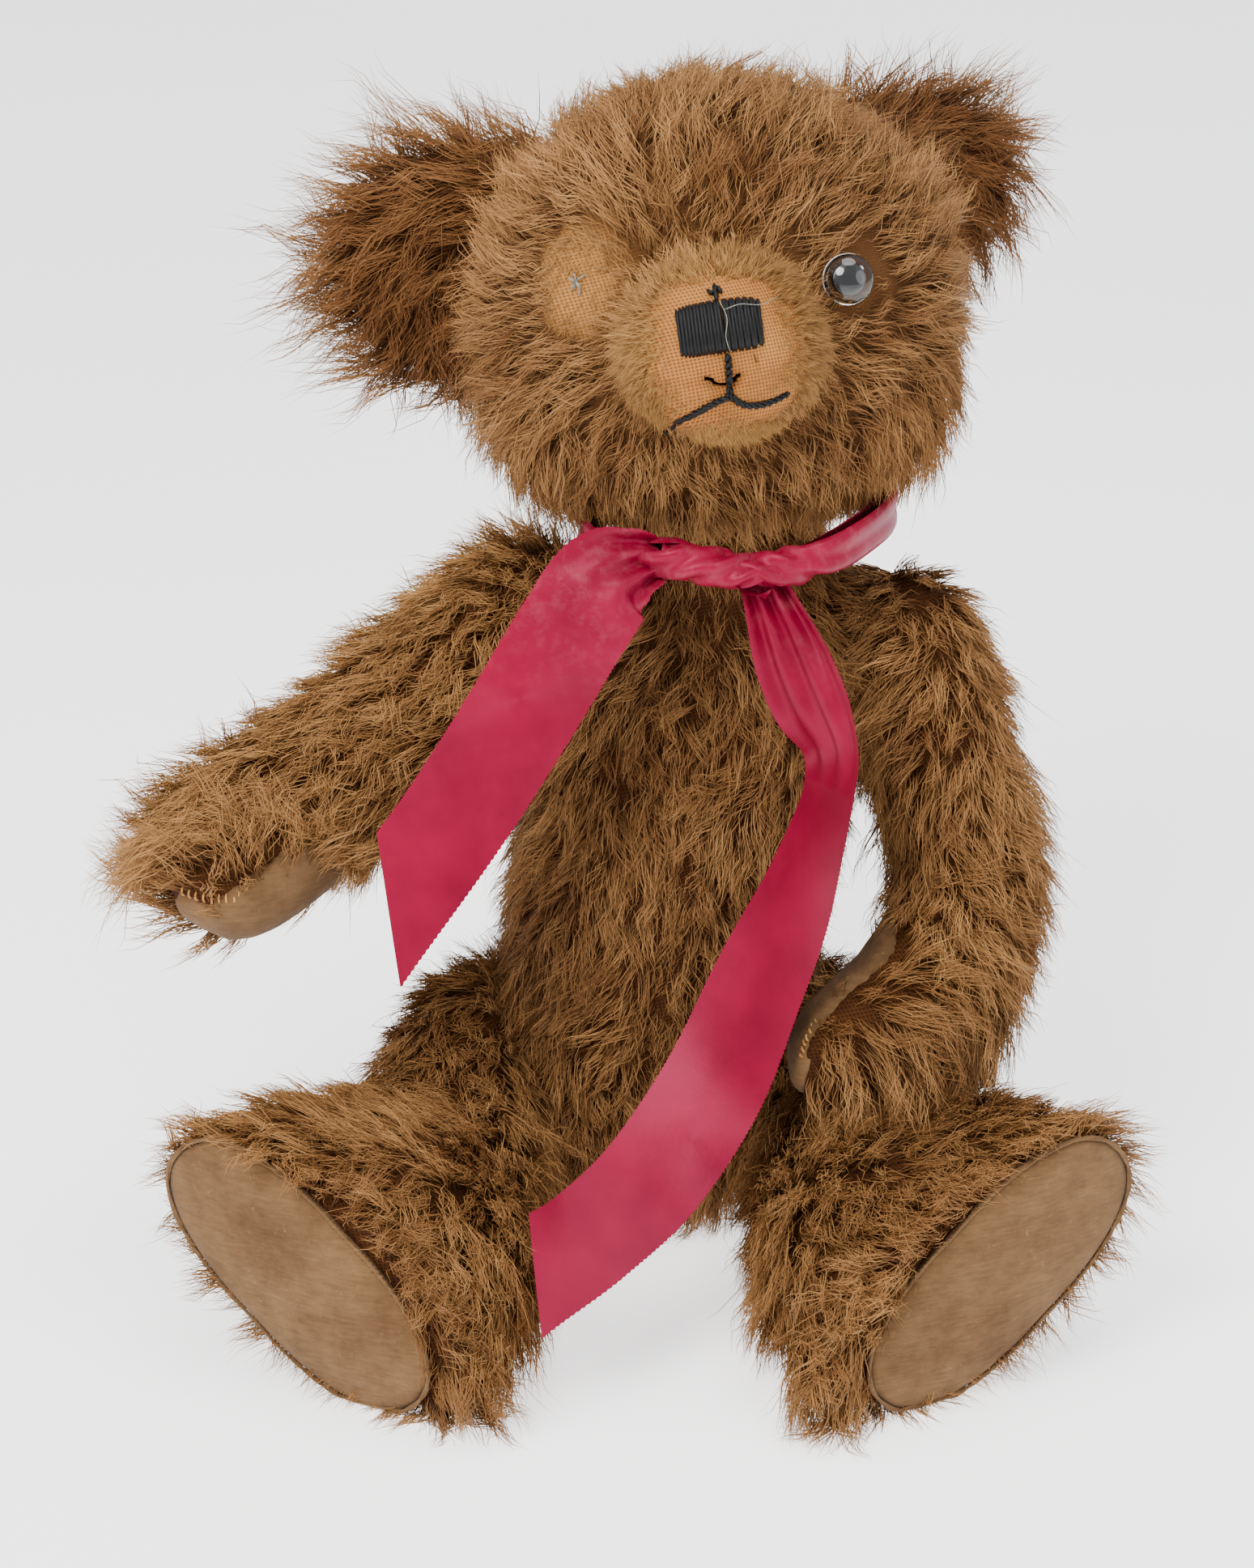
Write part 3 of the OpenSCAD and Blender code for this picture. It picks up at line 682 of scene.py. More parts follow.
def add_pile(name, body, spine, tones, material, width, slot="mohair"):
    """The hairs as one or more pieces of a limited size, all riding on one body."""
    count = math.ceil(len(spine) / HAIRS_PER_PIECE)
    for i in range(count):
        part = slice(i, None, count)
        label = f"{name}_{i + 1}"
        piece = add_object(label, hair_mesh(label, spine[part], tones[part], width[part]), material)
        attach(piece, body)
        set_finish(piece, slot)


def surface_samples(node, count, seed):
    """Random points on a CAD node's surface."""
    rng = np.random.default_rng(seed)
    mesh = nodes[node].data
    co, tris = coordinates(mesh), triangles(mesh)
    a, b, c = (co[tris[:, i]] for i in range(3))
    area = np.linalg.norm(np.cross(b - a, c - a), axis=1)
    pick = rng.choice(len(tris), count, p=area / area.sum())
    u, v = rng.random((2, count, 1))
    flip = u + v > 1
    u, v = np.where(flip, 1 - u, u), np.where(flip, 1 - v, v)
    return a[pick] * (1 - u - v) + b[pick] * u + c[pick] * v


def distance_to(points, others):
    """Distance from each point to the nearest of others."""
    best = np.full(len(points), np.inf)
    for start in range(0, len(points), 2000):
        part = points[start : start + 2000]
        gap = ((part[:, None, :] - others[None, :, :]) ** 2).sum(axis=2).min(axis=1)
        best[start : start + 2000] = np.sqrt(gap)
    return best


def smooth_step(low, high, x):
    t = np.clip((x - low) / (high - low), 0, 1)
    return t * t * (3 - 2 * t)


def off_flats(points, planes, reach):
    """1 away from joint planes, falling to 0 on them."""
    keep = np.ones(len(points))
    for point, normal in planes:
        depth = -((points - point) @ normal)
        radial = np.linalg.norm(points - point - np.outer((points - point) @ normal, normal), axis=1)
        on_flat = np.where(radial < reach, smooth_step(0.6 * MM, 4 * MM, depth), 1)
        keep = np.minimum(keep, on_flat)
    return keep


# How far past the CAD model's box the pile may stand
PILE_REACH = 9 * MM + 0.03 * (np.array(cad_box[1]) - np.array(cad_box[0]))
PILE_BOX = (np.array(cad_box[0]) - PILE_REACH, np.array(cad_box[1]) + PILE_REACH)


def trimmed(spine):
    """Shortens the hairs that would stand out of the pile's box."""
    root = spine[:, :1]
    out = spine - root
    share = np.where(out > 0, out / (PILE_BOX[1] - root), out / (PILE_BOX[0] - root))
    return root + out / np.maximum(1, share.max(axis=(1, 2)))[:, None, None]


# The five stuffed parts and what grows on each
LOCK_SPACING = 3.7 * MM
HAIRS_PER_LOCK = 15
HAIR_WIDTH = 0.34 * MM
PILE_LENGTH = 14.5 * MM
LOCK_SPREAD = 3.1 * MM
CLUMP = 0.66


def box_middle(node):
    low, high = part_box(node)
    return (np.array(low) + np.array(high)) / 2


def grow_on(piece, name, body, flow_at, length_at, planes, seed, lift=0.55, material=MOHAIR, tone_shift=0.0,
            tone_at=None, lift_at=None, spacing=LOCK_SPACING, hairs=HAIRS_PER_LOCK, reach=FLAT_REACH, clump=CLUMP,
            pile=PILE_LENGTH, spread=LOCK_SPREAD, width_scale=1.0, segments=LONG_HAIR):
    """Grows one part's pile from its cloth."""
    rng = np.random.default_rng(seed)
    points, normals = spread_points(piece.data, spacing, rng)
    share = off_flats(points, planes, reach)
    long = length_at(points, normals) * share
    keep = long > 0.06
    points, normals, long = points[keep], normals[keep], long[keep]
    swirl, patches, rise = Waves(rng, 0.05), Waves(rng, 0.028), Waves(rng, 0.035)
    flow = flow_at(points, normals)
    flow = unit(flow - normals * (flow * normals).sum(axis=1, keepdims=True))
    turn = 0.6 * swirl.at(points) + rng.normal(0, 0.36, len(points))
    flow = turn_about(flow, normals, turn)
    length = pile * long * (1 + 0.18 * patches.at(points)) * rng.uniform(0.8, 1.15, len(points))
    stand = lift + 0.16 * rise.at(points)
    if lift_at is not None:
        stand = stand + lift_at(points)
    tone = 0.5 + tone_shift + 0.2 * patches.at(points) + rng.normal(0, 0.1, len(points))
    if tone_at is not None:
        tone = tone + tone_at(points, normals)
    spine, tones = grow_locks(points, normals, flow, length, rng, stand, tone, hairs, spread, clump,
                              segments)
    width = width_scale * HAIR_WIDTH * rng.uniform(0.65, 1.25, len(spine)) * np.minimum(1, 0.5 + 0.5 * np.repeat(long, hairs))
    add_pile(name, body, trimmed(spine), tones, material, width)


# ---------- head ----------

# The head's own frame, as the CAD model tilts it: its neck joint, then its roll and its look upwards
NECK_TILT = Euler((math.radians(-6), math.radians(1), 0))
HEAD_TILT = Euler((math.radians(-8), math.radians(-8), 0))
NECK_POINT = np.array(joints["neck_swivel"]["pos_m"], float)
HEAD_TURN = np.array((NECK_TILT.to_matrix() @ HEAD_TILT.to_matrix()))


def head_point(x, y, z):
    return NECK_POINT + HEAD_TURN @ (np.array([x, y, z]) * MM)


HEAD_ACROSS = HEAD_TURN @ np.array([1.0, 0, 0])
HEAD_UP = HEAD_TURN @ np.array([0, 0, 1.0])
FACE_OUT = HEAD_TURN @ np.array([0, -1.0, 0])
MUZZLE_MIDDLE = head_point(3, -40, 40)
MUZZLE_RADIUS = 21 * MM
LEFT_EYE = box_middle("left_eye")
RIGHT_EYE = box_middle("right_eye_thread")


def head_flow(points, normals):
    away = unit(points - (MUZZLE_MIDDLE + FACE_OUT * 0.03))
    drop = np.clip((MUZZLE_MIDDLE[2] + 0.012 - points[:, 2]) / 0.03, 0, 1)[:, None]
    return away - drop * HEAD_UP * 0.9


def head_length(points, normals):
    from_muzzle = points - MUZZLE_MIDDLE
    off_axis = np.linalg.norm(from_muzzle - np.outer(from_muzzle @ FACE_OUT, FACE_OUT), axis=1)
    front = from_muzzle @ FACE_OUT > -0.02
    by_muzzle = np.where(front, smooth_step(MUZZLE_RADIUS - 1 * MM, MUZZLE_RADIUS + 9 * MM, off_axis), 1)
    by_muzzle = np.where(front & (off_axis < MUZZLE_RADIUS - 4 * MM), 0, 0.55 + 0.45 * by_muzzle)
    eye = np.linalg.norm(points - LEFT_EYE, axis=1)
    by_eye = smooth_step(5.5 * MM, 13 * MM, eye)
    patch = np.linalg.norm((points - RIGHT_EYE) * np.array([1, 1, 0.85]), axis=1)
    by_patch = 0.14 + 0.86 * smooth_step(4 * MM, 19 * MM, patch)
    cheek = np.abs((points - NECK_POINT) @ HEAD_ACROSS - 0.003)
    top = 1 + 0.15 * smooth_step(0.25, 0.28, points[:, 2]) + 0.3 * smooth_step(0.03, 0.055, cheek)
    return by_muzzle * np.where(eye < 6 * MM, 0, by_eye) * by_patch * top


def head_tone(points, normals):
    patch = np.linalg.norm(points - RIGHT_EYE, axis=1)
    brow = np.linalg.norm(points - head_point(8, -44, 68), axis=1)
    return 0.25 * (1 - smooth_step(6 * MM, 22 * MM, patch)) - 0.45 * (1 - smooth_step(5 * MM, 16 * MM, brow))


def patched_backing():
    """The head's backing: pale where the pile has worn off round the missing eye."""
    mat, tree, shader = new_material("head_backing")
    place = tree.nodes.new("ShaderNodeTexCoord")
    gap = add_node(tree, "ShaderNodeVectorMath", operation="DISTANCE")
    gap.inputs[1].default_value = RIGHT_EYE
    tree.links.new(place.outputs["Object"], gap.inputs[0])
    worn = ramp(tree, gap.outputs["Value"], [(0.009, (1, 1, 1)), (0.016, (0, 0, 0))])
    threads = weave(tree, 0.8 * MM)
    shade = ramp(tree, threads, [(0.15, (0.35, 0.30, 0.26)), (0.6, (1.0, 1.0, 1.0))])
    pale = mix_colours(tree, 0.85, (0.36, 0.16, 0.045), shade, "MULTIPLY")
    # Away from the worn patch the backing is dark, partly painted shade between the locks.
    tree.links.new(mix_colours(tree, worn, (0.07, 0.028, 0.008), pale), shader.inputs["Base Color"])
    set_inputs(shader, Roughness=0.9)
    set_inputs(shader, **{"Specular IOR Level": 0.1})
    bump(tree, shader, threads, 0.3 * MM)
    return mat


head = stuffed("head_cloth", "head", ["head_skin", "head_stuffing"], [])
head.data.materials[0] = patched_backing()


def press_in_behind_muzzle():
    co = coordinates(head.data)
    from_muzzle = co - MUZZLE_MIDDLE
    off_axis = np.linalg.norm(from_muzzle - np.outer(from_muzzle @ FACE_OUT, FACE_OUT), axis=1)
    share = (1 - smooth_step(0.75 * MUZZLE_RADIUS, 1.0 * MUZZLE_RADIUS, off_axis)) * (from_muzzle @ FACE_OUT > -0.02)
    set_coordinates(head.data, co - MUZZLE_PRESS * share[:, None] * FACE_OUT)


MUZZLE_PRESS = 5 * MM
press_in_behind_muzzle()
grow_on(head, "head_pile", "head", head_flow, head_length, [joint_plane("neck_swivel", True)], seed=11,
        lift=0.6, tone_at=head_tone)


# ---------- worn patch, muzzle, nose, mouth and eyes ----------


class Surface:
    """Finds points on pieces' meshes."""

    def __init__(self, *pieces):
        verts, faces = [], []
        for piece in pieces:
            start = len(verts)
            verts.extend(v.co.copy() for v in piece.data.vertices)
            faces.extend([start + i for i in f.vertices] for f in piece.data.polygons)
        self.tree = BVHTree.FromPolygons(verts, faces)

    def along(self, point, direction):
        hit = self.tree.ray_cast(Vector(point), Vector(direction))[0]
        return self.nearest(point)[0] if hit is None else np.array(hit)

    def nearest(self, point):
        hit, normal = self.tree.find_nearest(Vector(point))[:2]
        return np.array(hit), np.array(normal)


def smooth_path(points, count):
    """A smooth curve through the points, with that many points evenly spaced along it."""
    points = np.asarray(points, float)
    padded_points = np.vstack([2 * points[0] - points[1], points, 2 * points[-1] - points[-2]])
    fine = []
    for i in range(len(points) - 1):
        p = padded_points[i : i + 4]
        for t in np.arange(0, 1, 0.05):
            fine.append(0.5 * (2 * p[1] + (p[2] - p[0]) * t + (2 * p[0] - 5 * p[1] + 4 * p[2] - p[3]) * t**2
                               + (3 * p[1] - 3 * p[2] + p[3] - p[0]) * t**3))
    fine.append(points[-1])
    fine = np.array(fine)
    run = np.concatenate([[0], np.cumsum(np.linalg.norm(np.diff(fine[:, :3], axis=0), axis=1))])
    at = np.linspace(0, run[-1], count)
    return np.stack([np.interp(at, run, fine[:, k]) for k in range(fine.shape[1])], axis=1)


def tubes(name, paths, radius, sides=6):
    """One mesh of thin round threads with narrowed ends."""
    verts, faces = [], []
    for path in paths:
        heading = unit(np.gradient(path, axis=0))
        side = unit(np.cross(heading, np.array([0.31, 0.52, 0.79])))
        up = np.cross(heading, side)
        start, n = len(verts), len(path)
        for k in range(n):
            r = radius * (0.55 if k in (0, n - 1) else 1)
            for j in range(sides):
                a = 2 * math.pi * j / sides
                verts.append(path[k] + r * (math.cos(a) * side[k] + math.sin(a) * up[k]))
        for k in range(n - 1):
            for j in range(sides):
                low, nxt = start + k * sides, (j + 1) % sides
                faces.append((low + j, low + nxt, low + sides + nxt, low + sides + j))
        faces.append(tuple(start + j for j in reversed(range(sides))))
        faces.append(tuple(start + (n - 1) * sides + j for j in range(sides)))
    return mesh_from(name, verts, faces)


def plied(path, plies, offset, pitch):
    """The plies of a twisted yarn that runs along a path."""
    heading = unit(np.gradient(path, axis=0))
    side = unit(np.cross(heading, np.array([0.31, 0.52, 0.79])))
    up = np.cross(heading, side)
    run = np.concatenate([[0], np.cumsum(np.linalg.norm(np.diff(path, axis=0), axis=1))])
    strands = []
    for i in range(plies):
        angle = (2 * math.pi * (run / pitch + i / plies))[:, None]
        strands.append(path + offset * (np.cos(angle) * side + np.sin(angle) * up))
    return strands


def sewn(name, mesh, material, body, slot, *replaced):
    piece = add_object(name, mesh, material)
    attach(piece, body)
    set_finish(piece, slot)
    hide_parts(*replaced)
    return piece


def patch_length(points, normals):
    near = np.linalg.norm(points - RIGHT_EYE, axis=1)
    return (1 - smooth_step(11 * MM, 17 * MM, near)) * smooth_step(1.5 * MM, 4 * MM, near)


def patch_flow(points, normals):
    return np.tile(-HEAD_UP - 0.9 * HEAD_ACROSS, (len(points), 1))


grow_on(head, "eye_patch_pile", "head", patch_flow, patch_length, [], seed=12, lift=0.45, material=SHORT_PILE,
        spacing=1.5 * MM, hairs=4, pile=4.2 * MM, spread=1.2 * MM, clump=0.3, width_scale=0.8, segments=SHORT_HAIR)

# The face is laid out in the plane the muzzle looks along: how far across and up from the nose, in mm
FACE_LOOK = np.array([0.0, math.cos(CAMERA_ELEVATION), -math.sin(CAMERA_ELEVATION)])
FACE_TILT = math.radians(8)
FACE_RISE = np.array([0.0, math.sin(CAMERA_ELEVATION), math.cos(CAMERA_ELEVATION)])
FACE_X = np.array([math.cos(FACE_TILT), 0, 0]) + math.sin(FACE_TILT) * FACE_RISE
FACE_Y = np.array([-math.sin(FACE_TILT), 0, 0]) + math.cos(FACE_TILT) * FACE_RISE
NOSE_POINT = np.array([20.4, -52.0, 244.7]) * MM

MUZZLE_SWELL = 1.0 * MM

muzzle = remeshed("muzzle_cloth", ["muzzle_skin"], 1.0 * MM)
set_coordinates(muzzle.data, coordinates(muzzle.data) + MUZZLE_SWELL * vertex_normals(muzzle.data))
muzzle.data.polygons.foreach_set("use_smooth", [True] * len(muzzle.data.polygons))
muzzle.data.materials.clear()
muzzle.data.materials.append(BARE_BACKING)
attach(muzzle, "head")
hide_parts("muzzle_skin")
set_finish(muzzle, "muzzle_pile")
face = Surface(muzzle, head)


def on_face(across, up, lift):
    start = NOSE_POINT + MM * (across * FACE_X + up * FACE_Y) - 0.05 * FACE_LOOK
    return face.along(start, FACE_LOOK) - lift * MM * FACE_LOOK


def face_plane(points):
    """How far across and up from the nose points lie, in mm."""
    return (points - NOSE_POINT) @ FACE_X / MM, (points - NOSE_POINT) @ FACE_Y / MM


MOUTH = [
    [(0.8, -6.5), (0.5, -11), (0.2, -15.2)],
    [(0.2, -15.2), (-4.0, -16.4), (-9.0, -17.8), (-14.5, -18.4)],
    [(0.2, -15.2), (3.2, -17.4), (8.0, -17.6), (13.5, -15.8)],
]


def muzzle_length(points, normals):
    across, up = face_plane(points)
    off_nose = np.maximum(np.abs(across) - 9.5, np.abs(up) - 7.5)
    rim = smooth_step(9, 21, np.hypot(across, up + 6))
    off_mouth = np.full(len(points), 99.0)
    for line in MOUTH:
        for x, y in smooth_path(line, 12):
            off_mouth = np.minimum(off_mouth, np.hypot(across - x, up - y))
    clear = smooth_step(0, 3, off_nose) * smooth_step(0.6, 3, off_mouth)
    return clear * (0.4 + 0.9 * rim)


def muzzle_flow(points, normals):
    return unit(points - NOSE_POINT) - 0.25 * UP


grow_on(muzzle, "muzzle_pile", "head", muzzle_flow, muzzle_length, [], seed=13, lift=1.0, material=SHORT_PILE,
        spacing=1.4 * MM, hairs=5, pile=4.6 * MM, spread=0.9 * MM, clump=0.3, width_scale=0.7, segments=SHORT_HAIR)

def rim_length(points, normals):
    across, up = face_plane(points)
    return smooth_step(15, 22, np.hypot(across, up + 5)) * (0.8 + 0.2 * smooth_step(0, -12, up))


grow_on(muzzle, "muzzle_rim_pile", "head", muzzle_flow, rim_length, [], seed=14, lift=0.85, spacing=2.6 * MM,
        hairs=9, pile=9.5 * MM, spread=2.0 * MM, clump=0.5, width_scale=0.9, tone_shift=0.15)

NOSE_HALF_WIDTH = 8.7
NOSE_HALF_HEIGHT = 6.0
NOSE_THREADS = 24
NOSE_SPLIT = 0.9


def nose_threads():
    """Satin stitches side by side, each pulled down into the muzzle at both ends."""
    paths = []
    for i in range(NOSE_THREADS):
        across = -NOSE_HALF_WIDTH + 2 * NOSE_HALF_WIDTH * i / (NOSE_THREADS - 1)
        across += 0.22 * math.copysign(1, across - NOSE_SPLIT)
        rounded = 1 - 0.10 * abs(across / NOSE_HALF_WIDTH) ** 4
        crown = 2.4 * (1 - 0.55 * abs(across / NOSE_HALF_WIDTH) ** 3)
        path = []
        for t in np.linspace(-1, 1, 13):
            lift = crown * max(0, 1 - abs(t) ** 4) ** 0.5 - 0.4 + 0.15 * math.sin(7 * i)
            lean = 0.18 * math.sin(3.1 * i) * t
            path.append(on_face(across + lean, t * NOSE_HALF_HEIGHT * rounded, lift))
        paths.append(np.array(path))
    knot = [on_face(a, b, 0.9) for a, b in ((-1.6, 8.6), (-0.6, 7.6), (0.6, 9.0), (1.4, 7.4))]
    stalk = [on_face(0.1, b, 0.8) for b in (9.8, 8.4, 6.6, 5.6)]
    return paths + [smooth_path(knot, 9), smooth_path(stalk, 7)]


sewn("nose_threads", tubes("nose_threads", nose_threads(), 0.52 * MM), None, "head", "black_thread", "nose_stitching")

STRAY_ON_NOSE = [[(0.6, 5.2, 3.2), (1.6, 1.0, 3.5), (0.8, -3.0, 3.2), (1.4, -6.4, 2.0)],
                 [(1.2, 3.0, 3.4), (5.0, 3.9, 3.2), (9.5, 3.6, 1.5), (13.5, 5.0, 2.6)]]
stray = [smooth_path([on_face(*p) for p in line], 20) for line in STRAY_ON_NOSE]
loose = add_object("nose_stray_thread", tubes("nose_stray_thread", stray, 0.09 * MM, 5))
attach(loose, "head")
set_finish(loose, "grey_thread")

mouth = []
for line in MOUTH:
    flat_line = smooth_path(line, 26)
    mouth += plied(np.array([on_face(x, y, 0.75) for x, y in flat_line]), 2, 0.42 * MM, 3.2 * MM)
sewn("mouth_yarn", tubes("mouth_yarn", mouth, 0.5 * MM), None, "head", "black_thread", "mouth_stitching")


EYE_RADIUS = 5.9 * MM
EYE_BULGE = 4.2 * MM
EYE_FACES = unit(np.array([0.02, -math.cos(CAMERA_ELEVATION), math.sin(CAMERA_ELEVATION) - 0.1]))
EYE_MIDDLE = np.array([50.0, -20.5, 246.2]) * MM


def turned(name, profile, middle, faces_to, sides=40):
    """A solid of revolution. Each step of its profile is how far out it is, and how far forward."""
    right = unit(np.cross(faces_to, UP))
    up = np.cross(right, faces_to)
    verts = []
    for out, forward in profile:
        for j in range(sides):
            a = 2 * math.pi * j / sides
            verts.append(middle + faces_to * forward + out * (math.cos(a) * right + math.sin(a) * up))
    faces = [tuple(range(sides))]
    for k in range(len(profile) - 1):
        for j in range(sides):
            low, nxt = k * sides, (j + 1) % sides
            faces.append((low + j, low + sides + j, low + sides + nxt, low + nxt))
    faces.append(tuple((len(profile) - 1) * sides + j for j in reversed(range(sides))))
    mesh = mesh_from(name, verts, faces)
    bm = bmesh.new()
    bm.from_mesh(mesh)
    bmesh.ops.recalc_face_normals(bm, faces=bm.faces)
    bm.to_mesh(mesh)
    bm.free()
    return mesh


def dome(radius, bulge, floor, count=10):
    """The profile of a flat-backed lens."""
    turns = np.linspace(0, math.pi / 2, count)
    return [(radius * 0.9, floor)] + [(radius * math.cos(a) + 1e-5, bulge * math.sin(a)) for a in turns]


sewn("left_eye_glass", turned("left_eye_glass", dome(EYE_RADIUS, EYE_BULGE, -0.8 * MM), EYE_MIDDLE, EYE_FACES), None,
     "head", "eye_glass", "left_eye")
sewn("left_eye_disc", turned("left_eye_disc", dome(EYE_RADIUS * 0.55, 0.5 * MM, -0.3 * MM, 5),
                             EYE_MIDDLE + EYE_FACES * 0.4 * MM, EYE_FACES), None,
     "head", "pupil_paint", "left_eye_pupil")


def eye_thread_ends():
    """What is left of the thread that held the missing eye: a few short loops and ends."""
    rng = np.random.default_rng(8)
    paths = []
    for i in range(9):
        angle = 2 * math.pi * i / 9 + rng.normal(0, 0.3)
        reach = rng.uniform(1.2, 3.2) * MM
        turn = angle + rng.normal(0, 0.7)
        steps = []
        for t in (0, 0.4, 0.75, 1):
            a = angle + (turn - angle) * t
            spot = RIGHT_EYE + reach * t * (math.cos(a) * HEAD_ACROSS + math.sin(a) * HEAD_UP)
            hit = face.along(spot + 0.02 * FACE_OUT, -FACE_OUT)
            steps.append(hit + FACE_OUT * MM * (0.4 + 0.9 * math.sin(math.pi * t)))
        paths.append(smooth_path(steps, 9))
    return paths


sewn("right_eye_thread_ends", tubes("right_eye_thread_ends", eye_thread_ends(), 0.22 * MM, 5), None, "head",
     "grey_thread", "right_eye_thread")


# ---------- ears ----------


def ear_flow(root, droop):
    """Out from the ear's root, and down."""
    def flow(points, normals):
        return unit(points - root) - UP * (droop + 0.3 * (normals @ FACE_OUT)[:, None])

    return flow


def ear_length(scale, root, front_short):
    def length(points, normals):
        out = np.linalg.norm(points - root, axis=1)
        return scale * (0.55 + 0.45 * smooth_step(0.01, 0.045, out)) * np.where(normals @ FACE_OUT > 0.4, front_short, 1)

    return length


for side_name, sign in SIDES.items():
    ear = remeshed(f"{side_name}_ear_cloth", [f"{side_name}_ear"], 2.2 * MM)
    subdivide(ear)
    ear.data.materials.clear()
    ear.data.materials.append(BACKING)
    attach(ear, "head")
    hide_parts(f"{side_name}_ear")
    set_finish(ear, "mohair")
    root = head_point(sign * 32, -4, 48)
    long = 1.85 if side_name == "right" else 1.7
    grow_on(ear, f"{side_name}_ear_pile", "head", ear_flow(root, 0.5), ear_length(long, root, 0.75), [],
            seed=20 + sign, lift=0.5, tone_shift=-0.2,
            tone_at=lambda p, n: np.where(n @ FACE_OUT > 0.3, -0.25, 0.12))


# ---------- torso ----------

TORSO_AXIS = unit(NECK_POINT)
COLLAR_LOW = box_middle("ribbon_collar") - TORSO_AXIS * 0.008


SHOULDERS = [np.array(joints[f"{side_name}_shoulder"]["pos_m"], float) for side_name in SIDES]


def by_shoulder(points):
    """1 round the shoulder joints, falling to 0 away from them."""
    gap = np.min([np.linalg.norm(points - p, axis=1) for p in SHOULDERS], axis=0)
    return 1 - smooth_step(18 * MM, 34 * MM, gap)


def torso_flow(points, normals):
    outward = unit(points - np.outer(points @ TORSO_AXIS, TORSO_AXIS))
    return -TORSO_AXIS + 0.25 * outward + 0.8 * by_shoulder(points)[:, None] * outward


def torso_length(points, normals):
    height = points @ TORSO_AXIS
    under_collar = 0.45 + 0.55 * smooth_step(-0.006, 0.01, (COLLAR_LOW @ TORSO_AXIS) - height)
    seat = smooth_step(0.2 * MM, 8 * MM, points[:, 2])
    seam = np.abs(points[:, 0] - height * TORSO_AXIS[0])
    on_seam = 1 - 0.55 * (1 - smooth_step(0.5 * MM, 3.5 * MM, seam)) * (points[:, 1] < 0)
    return under_collar * seat * on_seam * (1 + 0.35 * by_shoulder(points))


torso = stuffed("torso_cloth", "torso", ["torso_skin"], ["torso_stuffing"])
grow_on(torso, "torso_pile", "torso", torso_flow, torso_length, [joint_plane(j, False) for j in joints], seed=5,
        tone_shift=-0.05, reach=0.014, lift_at=lambda points: 0.35 * by_shoulder(points))


# ---------- arms and legs ----------


def limb_direction(skin, joint):
    """From a limb's joint to the middle of its far end."""
    co = coordinates(nodes[skin].data)
    start = np.array(joints[joint]["pos_m"], float)
    far = co[np.argsort(np.linalg.norm(co - start, axis=1))[-200:]].mean(axis=0)
    return start, far, unit(far - start)


def arm_flow(start, far, along, pad_samples):
    """Down the arm, and away from the pad round the paw."""
    pad_middle = pad_samples.mean(axis=0)

    def flow(points, normals):
        from_pad = points - pad_middle
        near = 1 - smooth_step(14 * MM, 34 * MM, np.linalg.norm(from_pad, axis=1))[:, None]
        return along * (1 - near) + 1.3 * near * unit(from_pad) + 0.3 * near * along

    return flow


def stand_by_pad(pad_samples, amount):
    def lift(points):
        return amount * (1 - smooth_step(2 * MM, 11 * MM, distance_to(points, pad_samples)))

    return lift


def leg_flow(start, far, along, pad_samples):
    """Down the leg, then forward over the edge of the sole. Beside the sole, away from it."""
    pad_middle = pad_samples.mean(axis=0)

    def flow(points, normals):
        reach = np.clip(((points - start) @ along) / np.linalg.norm(far - start), 0, 1)[:, None]
        beside = smooth_step(0.15, 0.6, normals @ along)[:, None]
        beside = beside * (1 - smooth_step(14 * MM, 26 * MM, distance_to(points, pad_samples)))[:, None]
        down_leg = along * (1 - 0.3 * reach) - 0.3 * UP
        return down_leg * (1 - beside) + 1.5 * beside * unit(points - pad_middle)

    return flow


def leg_length(pad_samples, inward):
    """No pile on the sole, and the longest on the leg's inner side."""
    def length(points, normals):
        off_pad = distance_to(points, pad_samples)
        near_pad = 1 - smooth_step(4 * MM, 26 * MM, off_pad)
        by_pad = np.where(off_pad < 2.4 * MM, 0, 0.6 + 0.4 * smooth_step(2 * MM, 8 * MM, off_pad))
        return by_pad * (1 + 0.25 * near_pad) * (1 + 0.45 * np.clip(normals @ inward, 0, 1))

    return length


def limb_length(pad_samples, scale, tip_scale, far, spare):
    def length(points, normals):
        off_pad = distance_to(points, pad_samples)
        near_tip = 1 - smooth_step(0.02, 0.05, np.linalg.norm(points - far, axis=1))
        clear = smooth_step(spare, spare + 4 * MM, off_pad)
        return np.where(off_pad < spare, 0, 0.45 + 0.55 * clear) * scale * (1 + (tip_scale - 1) * near_tip)

    return length


PAW_SEAM_HEIGHT = 109 * MM


def seen_pad(side, samples):
    """The part of a paw's pad that the pile leaves open. On the right paw the pile covers its upper half."""
    return samples[samples[:, 2] < PAW_SEAM_HEIGHT] if side == "right" else samples


def outline_of(node, sides):
    """The outline of a flat or gently curved pad, seen square on: its middle, its axes with the last one
    square to it, and how far out it goes in each direction."""
    co = np.vstack([coordinates(nodes[node].data), surface_samples(node, 20000, 6)])
    middle = (co.min(axis=0) + co.max(axis=0)) / 2
    axes = np.linalg.svd(co - co.mean(axis=0), full_matrices=False)[2]
    flat = (co - middle) @ axes[:2].T
    angle, radius = np.arctan2(flat[:, 1], flat[:, 0]), np.hypot(flat[:, 0], flat[:, 1])
    bins = 2 * math.pi * np.arange(sides) / sides - math.pi
    reach = np.empty(sides)
    for i, a in enumerate(bins):
        off = np.abs((angle - a + math.pi) % (2 * math.pi) - math.pi)
        reach[i] = radius[off < OUTLINE_WINDOW].max()
    ring = np.arange(-2, 3)
    reach = np.mean([np.roll(reach, k) for k in ring], axis=0)
    return middle, axes, bins, reach


OUTLINE_WINDOW = 0.09
SOLE_SIDES = 120
SOLE_RINGS = 18
SOLE_CROWN = 2.4 * MM
SOLE_EDGE = 1.1 * MM


